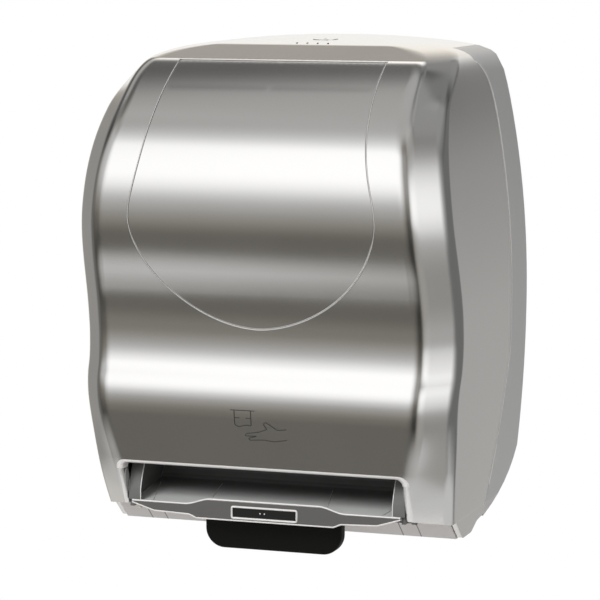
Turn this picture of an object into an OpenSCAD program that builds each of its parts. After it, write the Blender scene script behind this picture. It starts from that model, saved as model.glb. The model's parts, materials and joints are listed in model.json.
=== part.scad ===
// Automatic roll towel dispenser: a wall case with a hinged cover, a motor feed and a push lever.
// Millimetres. +X right, +Y into the wall, +Z up, origin at the centre of the four wall screws.
// Heights below are measured from the base band, and on_wall() moves them to the screw centre.

/* [Case] */
// Width of the case at its widest place
case_w = 298; // [285:1:330]
// Height from the base band to the top
case_h = 374.5; // [366:0.5:400]
// Height of the widest place
wide_z = 175; // [140:1:210]
// Radius of the bowed sides above the widest place
bow_top_r = 780; // [600:10:1500]
// Radius of the bowed sides below the widest place
bow_low_r = 1220; // [900:10:2500]
// Radius of the arched top
top_arch_r = 900; // [700:10:2000]
// How tightly the top corners turn
corner_power = 6; // [4:0.5:10]
// Wall of the cover and of the housing
wall = 3; // [2:0.1:4]
// Seam between pieces of the case
seam = 0.4; // [0.3:0.1:0.8]

/* [Front profile] */
// Depth of the front at the foot of the legs
foot_d = 202; // [196:0.5:212]
// Depth of the lower belly
belly_d = 224.5; // [220:0.5:240]
// Height of the lower belly
belly_z = 102; // [95:1:120]
// Depth of the waist
waist_d = 217; // [212:0.5:230]
// Height of the waist
waist_z = 157; // [145:1:175]
// Depth of the upper bulge
bulge_d = 237; // [230:0.5:250]
// Drop from the top to the upper bulge
bulge_drop = 122.5; // [110:0.5:135]
// Depth of the brow, where the front meets the top
brow_d = 162.5; // [150:0.5:175]
// Drop from the top to the brow
brow_drop = 14.5; // [10:0.5:22]
// Depth at which the top levels off
crown_d = 115; // [90:1:130]
// Width of the chamfered band at each front corner
chamfer_w = 22.5; // [16:0.5:28]
// Depth of the chamfered band
chamfer_d = 27; // [20:0.5:34]
// How much deeper the band is cut at the brow
brow_cut = 18; // [8:0.5:22]
// Reach of the rounding on both edges of the band
band_round = 8; // [6:0.5:18]

/* [Parting line] */
// Depth of the housing at its middle
part_d = 48; // [40:1:60]
// How far the parting line leans forward at the top
part_top_lean = 22; // [15:1:40]
// How far it leans forward at the bottom
part_low_lean = 36; // [30:1:50]
// Width of the cover's top tongue
tongue_w = 212; // [190:1:220]
// Height of the cover's lower edge
foot_z = 16; // [15:0.5:18]

/* [Base] */
// Height at which the sloping bottom meets the wall
bottom_rise = 48; // [42:1:54]
// Depth of the base band's lower edge
toe_d = 148; // [146:1:151]
// Depth of the base band's upper edge
band_d = 166; // [164:0.5:167]

/* [Hinge] */
// Depth of the cover's hinge axis
hinge_d = 122; // [118:1:124]
// Height of the hinge axis
hinge_z = 8; // [7.5:0.25:8.5]
// Diameter of the hinge pins
hinge_pin_dia = 6; // [5:0.25:7]
// Radius of the ear around the pin
ear_r = 7.5; // [6.5:0.25:8]
// Thickness of the ear
ear_t = 3.3; // [2.6:0.1:4]
// Radial clearance of a turning shaft
run_gap = 0.05; // [0.02:0.01:0.1]

/* [Wall screws] */
// Distance between the screws across
screw_dx = 210; // [205:1:216]
// Distance between the screws upwards
screw_dz = 180; // [170:1:186]
// Diameter of the wall screw holes
screw_hole_dia = 5.5; // [4.5:0.25:6]
// Height of the middle of the screws
mount_z = 235; // [232:1:238]

/* [Towel slot] */
// Width of the slot
slot_w = 221.4; // [220:0.2:224]
// Height of the slot's upper edge
slot_top_z = 56; // [54:0.5:58]
// Radius of the slot's upper corners
slot_corner_r = 6; // [3:0.5:9]
// Depth of the slot's turned-in lip
lip_in = 11; // [8:0.5:12]

/* [Window] */
// Half the width at the brow
window_top_w = 82; // [76:0.5:90]
// Half the width at its flared corners
window_wide_w = 96; // [92:0.5:100]
// Drop from the top to the flared corners
window_wide_drop = 128.5; // [120:0.5:135]
// Height of its lowest point
window_low_z = 163; // [158:1:170]
// Gap around the window
window_gap = 0.2; // [0.1:0.05:0.4]

/* [Lock] */
// Depth of the lock
lock_d = 60; // [58:1:64]
// Radius of the lock barrel
lock_r = 8; // [7:0.25:9]
// Length of the lock cam
cam_len = 28; // [27:0.5:30]

/* [Towel roll] */
// Width of the roll
roll_w = 200; // [190:0.5:203]
// Room between the roll and the top of the case
roll_top_room = 37.5; // [34:0.5:70]
// Room between the roll and the control box
roll_low_room = 25; // [15:0.5:60]
// Depth of the roll's axis
roll_d = 112; // [108:1:116]
// Bore of the core
core_bore = 39.4; // [36:0.1:42]
// Wall of the core
core_wall = 2; // [1.5:0.1:3]
// Clearance between the core and its plugs
plug_gap = 0.3; // [0.25:0.05:0.5]
// How far the plugs reach into the core
plug_in = 10; // [7:0.5:11]
// Thickness of the roll arms
arm_t = 4; // [3:0.25:5]
// Room between the roll and each arm
arm_room = 3; // [2.5:0.25:3.5]

/* [Frame] */
// Thickness of the frame plates
plate_t = 3; // [2:0.25:4]
// Room between a frame plate and the cover's leg
plate_room = 0.7; // [0.5:0.1:1]
// Height of the frame plates' lower edge
frame_z = 20; // [19.5:0.25:21]
// Height of the chute's front lip at its sides
chute_lip_z = 25; // [24:0.25:26]
// Rise of the raised middle of the lip
lip_rise = 4.6; // [3:0.2:6]
// Half the width of the raised middle
lip_mid_w = 43; // [38:0.5:46]
// Width of the sensor window
sensor_w = 50.6; // [44:0.2:56]
// Height of the sensor window
sensor_h = 7.4; // [6:0.2:8]

/* [Feed] */
// Depth of the feed roller's axis
feed_d = 148; // [147:0.5:150]
// Radius of the feed roller
feed_r = 17; // [15:0.25:18]
// Radius of the pinch roller
pinch_r = 9; // [8:0.25:10]
// Diameter of the feed shaft
feed_shaft_dia = 8; // [7:0.25:9]
// Diameter of the pinch shaft
pinch_shaft_dia = 6; // [5:0.25:7]
// Room for the paper between the rollers
nip_gap = 0.3; // [0.2:0.05:0.5]
// Number of rubber sleeves on each roller
sleeve_count = 4; // [2:1:6]

/* [Gears] */
// Module of the motor gears
gear_module = 1; // [0.9:0.02:1.06]
// Play between teeth in mesh
gear_play = 0.3; // [0.2:0.05:0.4]
// Teeth of the motor pinion
pinion_teeth = 12; // [11:1:13]
// Teeth of the large idler wheel
idler_teeth = 42; // [40:1:43]
// Teeth of the small idler wheel
idler_small_teeth = 14; // [13:1:15]
// Teeth of the roller gear
roller_teeth = 38; // [36:1:39]
// Width of each gear
gear_w = 5; // [4:0.25:5.5]

/* [Lever] */
// Width of the lever paddle
lever_w = 109; // [100:0.5:114]
// Depth of the paddle's front face
lever_face_d = 185; // [183:0.5:187]
// Thickness of the paddle
lever_t = 9; // [8:0.25:10]
// How far the paddle hangs below the base band
lever_drop = 11.25; // [8:0.25:18]
// Radius of the paddle's lower corners
lever_corner_r = 15; // [8:0.5:16]
// Depth of the lever's pivot
lever_d = 172; // [171.5:0.25:172.5]
// Height of the lever's pivot
lever_z = 19; // [18.5:0.25:19.5]
// Diameter of the lever shaft
lever_shaft_dia = 6; // [5:0.25:6.5]
// Module of the lever's toothed sector
sector_module = 1.5; // [1.44:0.02:1.54]
// Teeth of the whole wheel that the sector is cut from
sector_teeth = 72; // [70:1:73]
// Teeth of the clutch pinion
clutch_teeth = 21; // [20:1:22]
// Stroke of the lever in degrees
lever_stroke = 22; // [15:1:24]

/* [Batteries] */
// Diameter of a cell
cell_dia = 33.2; // [30:0.1:34]
// Length of a cell without its tip
cell_len = 59; // [54:0.5:60]
// Wall of the battery box
box_wall = 2.5; // [2:0.1:3]
// Left side of the battery box
box_x = -104; // [-106:0.5:-100]
// Height of the battery box's bottom
box_z = 58; // [56:0.5:60]

/* [Controls] */
// Size of the control box across
control_w = 62; // [56:1:64]
// Size of the control box front to back
control_l = 54; // [48:1:58]
// Height of the control box
control_h = 22; // [18:0.5:24]
// Travel of the feed button
button_travel = 2; // [1.5:0.25:2.5]

/* [Hidden] */
$fn = 48;
eps = 0.01;

silver = [0.74, 0.74, 0.73];
housing_grey = [0.66, 0.66, 0.66];
chute_grey = [0.60, 0.62, 0.61];
steel = [0.80, 0.80, 0.82];
black = [0.06, 0.06, 0.06];
brass = [0.85, 0.80, 0.50];
gear_white = [0.92, 0.90, 0.84];
arm_grey = [0.30, 0.31, 0.32];

module on_wall() translate([0, 0, -mount_z]) children();
module both_sides() {
    children();
    mirror([1, 0, 0]) children();
}

// Outlines drawn as (y, z) and pulled along X, and outlines drawn as (x, z) and pulled along Y
module along_x(x0, x1) translate([x0, 0, 0]) rotate([90, 0, 90]) linear_extrude(x1 - x0) children();
module along_y(y0, y1) translate([0, y1, 0]) rotate([90, 0, 0]) linear_extrude(y1 - y0) children();
module rod_x(r, x0, x1, d, z) translate([x0, -d, z]) rotate([0, 90, 0]) cylinder(r = r, h = x1 - x0);
module block(x, y, z) translate([x[0], y[0], z[0]]) cube([x[1] - x[0], y[1] - y[0], z[1] - z[0]]);

function lerp(a, b, s) = a + (b - a) * s;
function smooth(s) = let (c = min(1, max(0, s))) c * c * (3 - 2 * c);
function hermite(z, z0, d0, m0, z1, d1, m1) =
    let (h = z1 - z0, s = (z - z0) / h)
    d0 * (2 * s^3 - 3 * s^2 + 1) + m0 * h * (s^3 - 2 * s^2 + s)
        + d1 * (3 * s^2 - 2 * s^3) + m1 * h * (s^3 - s^2);

// Form of the case: half width and front depth at a height, both drawn in by t for an inner skin
brow_z = case_h - brow_drop;
bulge_z = case_h - bulge_drop;
window_wide_z = case_h - window_wide_drop;
foot_slope = 0.53;
brow_slope = -1.8;
crown_z = lerp(brow_z, case_h, 0.69);
ridge_d = 6;
ridge_drop = 0.4;
brow_share = 0.7;
foot_flare = 7;
flare_z = 100;
flare_h = 60;
shoulder_take = 8;
shoulder_h = 40;
cut_h = 35;

function half_w(z, t) =
    let (
        r = z > wide_z ? bow_top_r : bow_low_r,
        dz = z - wide_z,
        side = case_w / 2 - t - (r - sqrt(r * r - dz * dz)),
        drop = max(0.02, case_h - t - z),
        arch = sqrt(drop * (2 * top_arch_r - drop))
    )
    (side^-corner_power + arch^-corner_power)^(-1 / corner_power);

function front_depth(z, t) =
    let (zb = brow_z - brow_share * t, db = brow_d - brow_share * t, zc = crown_z - t, zt = case_h - t)
    z < belly_z ? hermite(z, foot_z, foot_d - t, foot_slope, belly_z, belly_d - t, 0) :
    z < waist_z ? hermite(z, belly_z, belly_d - t, 0, waist_z, waist_d - t, 0) :
    z < bulge_z ? hermite(z, waist_z, waist_d - t, 0, bulge_z, bulge_d - t, 0) :
    z < zb ? hermite(z, bulge_z, bulge_d - t, 0, zb, db, brow_slope) :
    z < zc ? lerp(db, crown_d - t, (z - zb) / (zc - zb)) :
    lerp(crown_d - t, ridge_d, (z - zc) / (zt - zc));

function top_z(d) = d > crown_d ? lerp(brow_z, crown_z, (brow_d - d) / (brow_d - crown_d))
    : lerp(crown_z, case_h, (crown_d - d) / (crown_d - ridge_d));

// One level of the case: the outline of its section from the right rear round the front to the left rear
function bend(from, corner, to, n) = [for (i = [0:n]) let (s = i / n)
    from * (1 - s)^2 + corner * 2 * s * (1 - s) + to * s^2];
function half_section(z, t, back) =
    let (
        w = half_w(z, t),
        d = front_depth(z, t),
        cw0 = chamfer_w + foot_flare * smooth((flare_z - z) / flare_h)
            - shoulder_take * smooth((z - brow_z) / shoulder_h + 1),
        cd0 = chamfer_d + brow_cut * smooth((z - brow_z) / cut_h + 1),
        turn = atan2(cd0, cw0),
        cw = min(cw0 - t * (1 - tan(turn / 2)), 0.6 * w),
        cd = min(cd0 - t * (1 - tan(45 - turn / 2)), 0.5 * d),
        len = sqrt(cw * cw + cd * cd),
        f = min(band_round, 0.45 * len, 0.45 * (d - cd)),
        inner = [w - cw, -d],
        outer = [w, cd - d],
        run = (inner - outer) / len
    )
    concat([[w, -back]], bend(outer + [0, f], outer, outer + f * run, 3),
        bend(inner - f * run, inner, inner - [f, 0], 3));
function section(z, t, back) =
    let (half = half_section(z, t, back), n = len(half))
    concat(half, [for (i = [n - 1:-1:0]) [-half[i][0], half[i][1]]]);

front_levels = 30;
crown_levels = 3;
ridge_levels = 5;
form_low = 6;
function level_z(i, t) =
    let (zb = brow_z - brow_share * t, zc = crown_z - t, zt = case_h - t - ridge_drop)
    i <= front_levels ? lerp(form_low - t, zb, i / front_levels) :
    i <= front_levels + crown_levels ? lerp(zb, zc, (i - front_levels) / crown_levels) :
    lerp(zc, zt, (i - front_levels - crown_levels) / ridge_levels);
levels = front_levels + crown_levels + ridge_levels;

module case_form(t, back) {
    rings = [for (i = [0:levels]) let (z = level_z(i, t)) [for (p = section(z, t, back)) [p[0], p[1], z]]];
    n = len(rings[0]);
    sides = [for (k = [0:levels - 1], j = [0:n - 1]) let (m = (j + 1) % n, a = k * n, b = a + n)
        each [[a + j, a + m, b + m], [a + j, b + m, b + j]]];
    polyhedron(
        [for (ring = rings) each ring],
        concat([[for (j = [n - 1:-1:0]) j]], sides, [[for (j = [0:n - 1]) levels * n + j]])
    );
}
tongue_back = 1.5;
tongue_deep = 20;
module case_shell() difference() {
    case_form(0, tongue_back);
    case_form(wall, -10);
}

// Parting line between cover and housing, as a depth at a height
part_top_z = brow_z - 3;
lean_from = 190;
lean_to = 130;
lean_power = 16;
function part_depth(z) = part_d
    + part_top_lean * max(0, (z - lean_from) / (part_top_z - lean_from))^lean_power
    + part_low_lean * max(0, (lean_to - z) / (lean_to - foot_z));
part_steps = 24;
function part_line(gap) = [for (i = [0:part_steps]) let (z = lerp(foot_z - gap, part_top_z, i / part_steps))
    [-part_depth(max(z, foot_z)) + gap, z]];

leg_from_d = 173;
leg_slope = 0.22;
far_d = 260;
over_z = case_h + 10;
module cover_side() polygon(concat(
    [[-far_d, foot_z + leg_slope * (far_d - leg_from_d)], [-leg_from_d, foot_z]],
    part_line(0),
    [[-part_depth(part_top_z), over_z], [-far_d, over_z]]
));
module cover_region() {
    along_x(-case_w, case_w) cover_side();
    block([-tongue_w / 2, tongue_w / 2], [-part_depth(part_top_z) - 20, 0], [part_top_z - 10, over_z]);
}

// Window outline: sides that swing out from the brow to flared corners, and a rounded lower edge
window_steps = 12;
window_power = 1.82;
swing_high = 38;
swing_low = 22;
function swing(a, b, c, d, n) = [for (i = [0:n]) let (s = i / n, r = 1 - s)
    a * r^3 + b * 3 * s * r^2 + c * 3 * s^2 * r + d * s^3];
module window_outline(grow) {
    wide = window_wide_w + grow;
    top = window_top_w + grow;
    fall = window_wide_z - window_low_z + grow;
    upper = swing([top, over_z], [top, window_wide_z + swing_high], [wide, window_wide_z + swing_low],
        [wide, window_wide_z], window_steps);
    lower = [for (i = [1:window_steps]) let (a = 90 * i / window_steps)
        [wide * cos(a)^(2 / window_power), window_wide_z - fall * sin(a)^(2 / window_power)]];
    right = concat(upper, lower);
    polygon(concat(right, [for (i = [len(right) - 1:-1:0]) [-right[i][0], right[i][1]]]));
}
window_top_z = brow_z - 1;
module window_prism(grow) intersection() {
    along_y(-far_d, -brow_d + 6) window_outline(grow);
    block([-case_w, case_w], [-far_d, 0], [0, window_top_z + grow]);
}

// Towel slot, open downwards between the legs
module slot_outline() {
    w = slot_w / 2;
    translate([-w, -20]) square([slot_w, slot_top_z - slot_corner_r + 20]);
    translate([-w + slot_corner_r, -20]) square([slot_w - 2 * slot_corner_r, slot_top_z + 20]);
    for (s = [-1, 1]) translate([s * (w - slot_corner_r), slot_top_z - slot_corner_r]) circle(slot_corner_r);
}
slot_back_d = 165;
lip_d = front_depth(slot_top_z, 0);

// Hinge at the lower corners: the cover's ear turns on a pin held in the base, and closes the base's side
ear_over = 4;
ear_front = 38;
ear_toe = 19;
ear_notch = 16;
ear_step_z = 6.5;
ear_heel_z = 8.5;
ear_gap = 0.6;
ear_inset = 0.7;
ear_x1 = half_w(foot_z, 0) - ear_inset;
ear_x0 = ear_x1 - ear_t;
base_half_w = ear_x0 - ear_gap;
pin_r = hinge_pin_dia / 2;
pin_in = 14;

// Lock in the tongue: barrel, turning plug and cam, with a catch shelf on the housing
lock_top_z = top_z(lock_d) + 1;
barrel_len = 25;
cam_t = 2.5;
cam_gap = 0.3;
cam_z = lock_top_z - barrel_len - cam_t;
shelf_z = cam_z + cam_t + 0.6;
plug_r = lock_r - 2.5;

module ear_outline() {
    back = -part_depth(foot_z);
    low = hinge_z - ear_r;
    translate([-hinge_d, hinge_z]) circle(ear_r);
    polygon([
        [back, foot_z + ear_over], [back, ear_heel_z], [-hinge_d + ear_notch, ear_step_z], [-hinge_d, low],
        [-hinge_d - ear_toe, low], [-hinge_d - ear_front, foot_z], [-hinge_d - ear_front, foot_z + ear_over]
    ]);
}
module front_cover() color(silver) on_wall() {
    lip_x = slot_w / 2 + wall;
    difference() {
        union() {
            intersection() {
                case_shell();
                cover_region();
            }
            // Turned-in lip over the slot
            along_x(-lip_x, lip_x) polygon([
                [-lip_d + 1, slot_top_z], [-lip_d + lip_in, slot_top_z],
                [-lip_d + lip_in, slot_top_z + wall], [-lip_d + 1, slot_top_z + wall]
            ]);
            both_sides() difference() {
                along_x(ear_x0, ear_x1) ear_outline();
                rod_x(pin_r + run_gap, ear_x0 - 1, ear_x1 + 1, hinge_d, hinge_z);
            }
        }
        along_y(-far_d, -slot_back_d) slot_outline();
        window_prism(window_gap);
        translate([0, -lock_d, 0]) cylinder(r = lock_r, h = over_z);
    }
}

module window_panel() color(silver) on_wall() intersection() {
    case_shell();
    window_prism(0);
}

module hinge_pins() color(steel) on_wall() both_sides()
    rod_x(pin_r, base_half_w - pin_in, ear_x1 + 0.3, hinge_d, hinge_z);

module lock_barrel() color(steel) on_wall() translate([0, -lock_d, 0]) difference() {
    union() {
        translate([0, 0, lock_top_z - barrel_len + cam_gap]) cylinder(r = lock_r, h = barrel_len - 1);
        translate([0, 0, lock_top_z - 1 + 0.7]) cylinder(r = lock_r + 2, h = 1.6);
        translate([0, 0, lock_top_z - 2]) cylinder(r = lock_r, h = 2);
    }
    cylinder(r = plug_r + run_gap, h = over_z + 10);
}

module lock_plug() color(steel) on_wall() translate([0, -lock_d, 0]) difference() {
    translate([0, 0, cam_z + cam_t]) cylinder(r = plug_r, h = lock_top_z + 1 - cam_z - cam_t);
    translate([-0.75, -3.5, lock_top_z - 9]) cube([1.5, 7, 20]);
}

module lock_cam() color(steel) on_wall() translate([0, -lock_d, cam_z]) linear_extrude(cam_t) {
    circle(lock_r);
    translate([0, -5]) square([cam_len - 5, 10]);
    translate([cam_len - 5, 0]) circle(5);
}

// Rear housing: bowed rim behind the parting line, wall plate, sloping bottom and base band
knee_d = 24;
knee_z = 8;
heel_d = 128;
floor_steps = 8;
band_top_z = foot_z - seam;
mid_band_w = 105;
mid_band_z = 13;
function outline_points(t) = let (
        right = [for (i = [0:levels]) let (z = level_z(i, t)) [half_w(z, t), z]],
        start = [[half_w(-1, t), -1]])
    concat(start, right, [for (i = [levels:-1:0]) [-right[i][0], right[i][1]]], [[-start[0][0], -1]]);
function base_curve(back, lift) = bend([back, bottom_rise + lift], [-knee_d, knee_z + lift], [-heel_d, lift],
    floor_steps);
module housing_side() polygon(concat(
    base_curve(0, 0),
    [[-toe_d, 0], [-band_d, band_top_z]],
    part_line(seam),
    [[-part_depth(part_top_z) + seam, over_z], [0, over_z]]
));
module housing_hollow() polygon(concat(base_curve(-wall, wall), [
    [-toe_d + 1, wall], [-band_d + wall, band_top_z + 1], [-far_d, band_top_z + 1], [-far_d, over_z],
    [-wall, over_z]
]));
post_r = 5;
post_x = slot_w / 2 - plate_room - plate_t - 9;
post_front_d = 140;
post_rear_d = 84;
screw_r = 1.6;
shelf_half = 34;
shelf_d = lock_d - 20;
gusset_h = 30;

module rear_housing() color(housing_grey) on_wall() difference() {
    union() {
        difference() {
            intersection() {
                along_y(-far_d, 0) polygon(outline_points(0));
                along_x(-case_w, case_w) housing_side();
            }
            intersection() {
                along_y(-far_d, -wall) polygon(outline_points(wall));
                along_x(-case_w, case_w) housing_hollow();
            }
            // Room for the cover's tongue over the housing
            along_y(-far_d, 1) difference() {
                translate([-tongue_w / 2 - seam, part_top_z - tongue_deep])
                    square([tongue_w + 2 * seam, over_z - part_top_z + tongue_deep]);
                polygon(outline_points(wall + seam));
            }
        }
        // Posts under the frame, bearing blocks for the hinge pins, and the lock's catch shelf
        intersection() {
            for (x = [-post_x, post_x], d = [post_front_d, post_rear_d])
                translate([x, -d, 0]) cylinder(r = post_r, h = frame_z);
            along_x(-case_w, case_w) polygon(concat(base_curve(0, 0), [
                [-toe_d, 0], [-toe_d, frame_z], [-knee_d, bottom_rise], [0, bottom_rise + frame_z]
            ]));
        }
        both_sides() intersection() {
            block([base_half_w - pin_in - 2, base_half_w], [-hinge_d - ear_r, -hinge_d + ear_r],
                [0, band_top_z]);
            along_x(0, case_w) housing_side();
        }
        block([-shelf_half, shelf_half], [-shelf_d, -wall + eps], [shelf_z, shelf_z + wall]);
        both_sides() along_x(shelf_half - wall, shelf_half)
            polygon([
                [-wall + eps, shelf_z - gusset_h], [-wall + eps, shelf_z + eps], [-shelf_d, shelf_z + eps]
            ]);
    }
    // The base is narrower than the cover, and its middle stands lower than its ends
    both_sides() block([base_half_w, case_w], [-far_d, -part_depth(foot_z) + seam], [-1, foot_z]);
    block([-mid_band_w, mid_band_w], [-far_d, -toe_d - 2], [mid_band_z, foot_z + 2]);
    both_sides() rod_x(pin_r, base_half_w - pin_in, base_half_w + 1, hinge_d, hinge_z);
    for (x = [-post_x, post_x], d = [post_front_d, post_rear_d])
        translate([x, -d, frame_z - 10]) cylinder(r = screw_r, h = 20);
    for (x = [-1, 1], z = [-1, 1])
        translate([x * screw_dx / 2, 1, mount_z + z * screw_dz / 2]) rotate([90, 0, 0])
            cylinder(d = screw_hole_dia, h = wall + 20);
}

// Frame: two side plates that carry the rollers and close the chute at its ends
plate_out = slot_w / 2 - plate_room;
plate_in = plate_out - plate_t;
sector_r = sector_module * sector_teeth / 2;
clutch_r = sector_module * clutch_teeth / 2;
lever_to_feed = sector_r + clutch_r;
feed_z = lever_z + sqrt(lever_to_feed^2 - (lever_d - feed_d)^2);
pinch_d = feed_d + feed_r + pinch_r + nip_gap;
idler_angle = 20;
motor_angle = -10;
idler_run = gear_module * (idler_small_teeth + roller_teeth) / 2;
motor_run = gear_module * (pinion_teeth + idler_teeth) / 2;
idler_pos = [-feed_d, feed_z] + idler_run * [cos(idler_angle), sin(idler_angle)];
motor_pos = idler_pos + motor_run * [cos(motor_angle), sin(motor_angle)];
bush_r = feed_shaft_dia / 2 + 2.5;
bush_flange_r = bush_r + 2;
flange_t = 1.5;
block_y = 13;
block_z = 12;
block_w = 6.4;
spring_room = 9;
shaft_r = lever_shaft_dia / 2;
chute_d = 202;
motor_r = 13.8;
motor_len = 38;
motor_boss_r = 5;
flange_w = 16;
flange_l = 12;
frame_front_d = chute_d - 1;
frame_back_d = 66;
frame_top_z = 126;
frame_lift = 5;
frame_cut = 12;

module frame_outline() difference() {
    union() {
        polygon([
            [-frame_back_d, frame_z + frame_lift], [-frame_back_d - frame_cut, frame_z],
            [-frame_front_d, frame_z], [-frame_front_d, slot_top_z + 8],
            [-pinch_d - block_y, feed_z + 26], [-roll_d - 14, frame_top_z], [-frame_back_d, frame_top_z - 14]
        ]);
        translate([-lever_d, lever_z]) circle(shaft_r + 2);
    }
    translate([-feed_d, feed_z]) circle(bush_r);
    translate([-lever_d, lever_z]) circle(shaft_r + run_gap);
    translate([-pinch_d - block_y / 2 - spring_room, feed_z - block_z / 2])
        square([block_y + spring_room, block_z]);
}
module frame_flanges() for (d = [post_front_d, post_rear_d]) difference() {
    block([plate_in - flange_w, plate_in + eps], [-d - flange_l / 2, -d + flange_l / 2],
        [frame_z, frame_z + plate_t]);
    translate([post_x, -d, 0]) cylinder(r = screw_r + 0.3, h = 60);
}
module left_frame() color(housing_grey) on_wall() mirror([1, 0, 0]) {
    along_x(plate_in, plate_out) frame_outline();
    frame_flanges();
}
module right_frame() color(housing_grey) on_wall() {
    along_x(plate_in, plate_out) difference() {
        frame_outline();
        translate(motor_pos) circle(motor_boss_r);
        translate(idler_pos) circle(idler_pin_r);
    }
    frame_flanges();
}

// Chute: floor that curves up at the back, front lip with the sensor's opening, lever bearings below
floor_t = 2.5;
floor_rise = 7;
floor_back_d = 150;
curl_d = 136;
curl_z = 58;
lip_t = 3;
lip_low_z = 15;
lip_side_low_z = 18.5;
lip_end_z = 24;
lip_slope_w = 21;
lip_tip_w = 89;
lip_steps = 8;
sensor_z = 17.5;
bearing_x = 60;
bearing_w = 4;
function floor_line(t) = concat(
    [[-chute_d, chute_lip_z - t], [-floor_back_d, chute_lip_z + floor_rise - t]],
    bend([-floor_back_d, chute_lip_z + floor_rise - t], [-curl_d + t, chute_lip_z + floor_rise - t + 1],
        [-curl_d + t, curl_z], 6)
);
function lip_top(x) = chute_lip_z + 0.3 + lip_rise * smooth((lip_mid_w + lip_slope_w - abs(x)) / lip_slope_w);
lip_half = plate_in;
module lip_outline() polygon(concat(
    [for (i = [-lip_steps:lip_steps]) let (x = (lip_mid_w + lip_slope_w * abs(i) / lip_steps) * sign(i))
        if (i != 0) [x, lip_top(x)]],
    [[lip_half, lip_top(lip_half)], [lip_half, lip_end_z], [lip_tip_w, lip_side_low_z],
     [lever_w / 2 + 6, lip_side_low_z - 1], [lever_w / 2, lip_low_z], [-lever_w / 2, lip_low_z],
     [-lever_w / 2 - 6, lip_side_low_z - 1], [-lip_tip_w, lip_side_low_z], [-lip_half, lip_end_z],
     [-lip_half, lip_top(lip_half)]]
));
module chute() color(chute_grey) on_wall() difference() {
    union() {
        along_x(-plate_in, plate_in)
            polygon(concat(floor_line(0), [for (i = [len(floor_line(0)) - 1:-1:0]) floor_line(floor_t)[i]]));
        along_y(-chute_d - lip_t + eps, -chute_d + eps) lip_outline();
        // Hood that carries the sensor board behind the lip
        for (s = [-1, 1]) block([s * (sensor_w / 2 + 3) - 1, s * (sensor_w / 2 + 3) + 1],
            [-chute_d - eps, -chute_d + 9], [lip_low_z, chute_lip_z + 0.4]);
        for (x = [-bearing_x - bearing_w, bearing_x]) along_x(x, x + bearing_w) difference() {
            union() {
                translate([-lever_d, lever_z]) circle(shaft_r + 2);
                translate([-lever_d - shaft_r - 2, lever_z]) square([2 * shaft_r + 4, 8.5]);
            }
            translate([-lever_d, lever_z]) circle(shaft_r + run_gap);
        }
    }
    along_y(-chute_d - 10, -chute_d + 1) translate([-sensor_w / 2, sensor_z]) square([sensor_w, sensor_h]);
}

sensor_set_in = 1;
board_back = 5;
board_t = 1.6;
eye_x = 12;
module sensor_window() color(black) on_wall()
    block([-sensor_w / 2, sensor_w / 2], [-chute_d - lip_t + sensor_set_in, -chute_d + 0.8],
        [sensor_z, sensor_z + sensor_h]);
module sensor_board() color([0.05, 0.3, 0.15]) on_wall()
    block([-sensor_w / 2 - 2, sensor_w / 2 + 2], [-chute_d + board_back, -chute_d + board_back + board_t],
        [lip_low_z + 1, chute_lip_z - 2]);
module ir_pair() color([0.12, 0.1, 0.14]) on_wall() for (x = [-eye_x, eye_x])
    translate([x, -chute_d + board_back, sensor_z + sensor_h / 2 - 1]) rotate([90, 0, 0]) {
        cylinder(r = 2.5, h = 3);
        cylinder(r = 2.9, h = 1);
    }

// Front beam over the slot with the serrated tear bar on its face
beam_z = slot_top_z + 5;
beam_h = 11;
beam_front_d = frame_front_d - 2;
beam_l = 10;
beam_t = 2.5;
beam_end = 6;
bar_t = 1;
tooth_count = 48;
tooth_h = 3;
bar_half = plate_in - 4;
module front_beam() color(housing_grey) on_wall() difference() {
    block([-plate_in, plate_in], [-beam_front_d, -beam_front_d + beam_l], [beam_z, beam_z + beam_h]);
    block([-plate_in + beam_end, plate_in - beam_end], [-beam_front_d + beam_t, -beam_front_d + beam_l + 1],
        [beam_z + beam_t, beam_z + beam_h + 1]);
}
module tear_bar() color(steel) on_wall() along_y(-beam_front_d - bar_t, -beam_front_d) {
    pitch = 2 * bar_half / tooth_count;
    polygon(concat(
        [[bar_half, beam_z + beam_h - 2], [-bar_half, beam_z + beam_h - 2]],
        [for (i = [0:tooth_count - 1]) each [[-bar_half + i * pitch, beam_z],
            [-bar_half + (i + 0.5) * pitch, beam_z - tooth_h]]],
        [[bar_half, beam_z]]
    ));
}

// Rollers
sleeve_half = plate_in - 8;
sleeve_space = 8;
module sleeves(r, bore, d, z) {
    pitch = 2 * sleeve_half / sleeve_count;
    for (i = [0:sleeve_count - 1]) let (x = -sleeve_half + i * pitch + sleeve_space / 2) difference() {
        rod_x(r, x, x + pitch - sleeve_space, d, z);
        rod_x(bore, x - 1, x + pitch, d, z);
    }
}
gear_x0 = plate_out + 2;
gear_x1 = gear_x0 + gear_w;
gear_x2 = gear_x1 + 0.8;
gear_x3 = gear_x2 + gear_w;
feed_shaft_r = feed_shaft_dia / 2;
pinch_shaft_r = pinch_shaft_dia / 2;
module feed_shaft() color(steel) on_wall() rod_x(feed_shaft_r, -gear_x1 - 0.2, gear_x1 + 0.2, feed_d, feed_z);
module feed_sleeves() color([0.12, 0.12, 0.12]) on_wall() sleeves(feed_r, feed_shaft_r, feed_d, feed_z);
module roller_bushes() color([0.85, 0.83, 0.75]) on_wall() both_sides() difference() {
    union() {
        rod_x(bush_r, plate_in, plate_out + flange_t, feed_d, feed_z);
        rod_x(bush_flange_r, plate_in - flange_t, plate_in, feed_d, feed_z);
    }
    rod_x(feed_shaft_r + run_gap, plate_in - 5, plate_out + 5, feed_d, feed_z);
}
block_x = (plate_in + plate_out) / 2 - block_w / 2;
pinch_end_x = block_x + block_w - 0.5;
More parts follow.
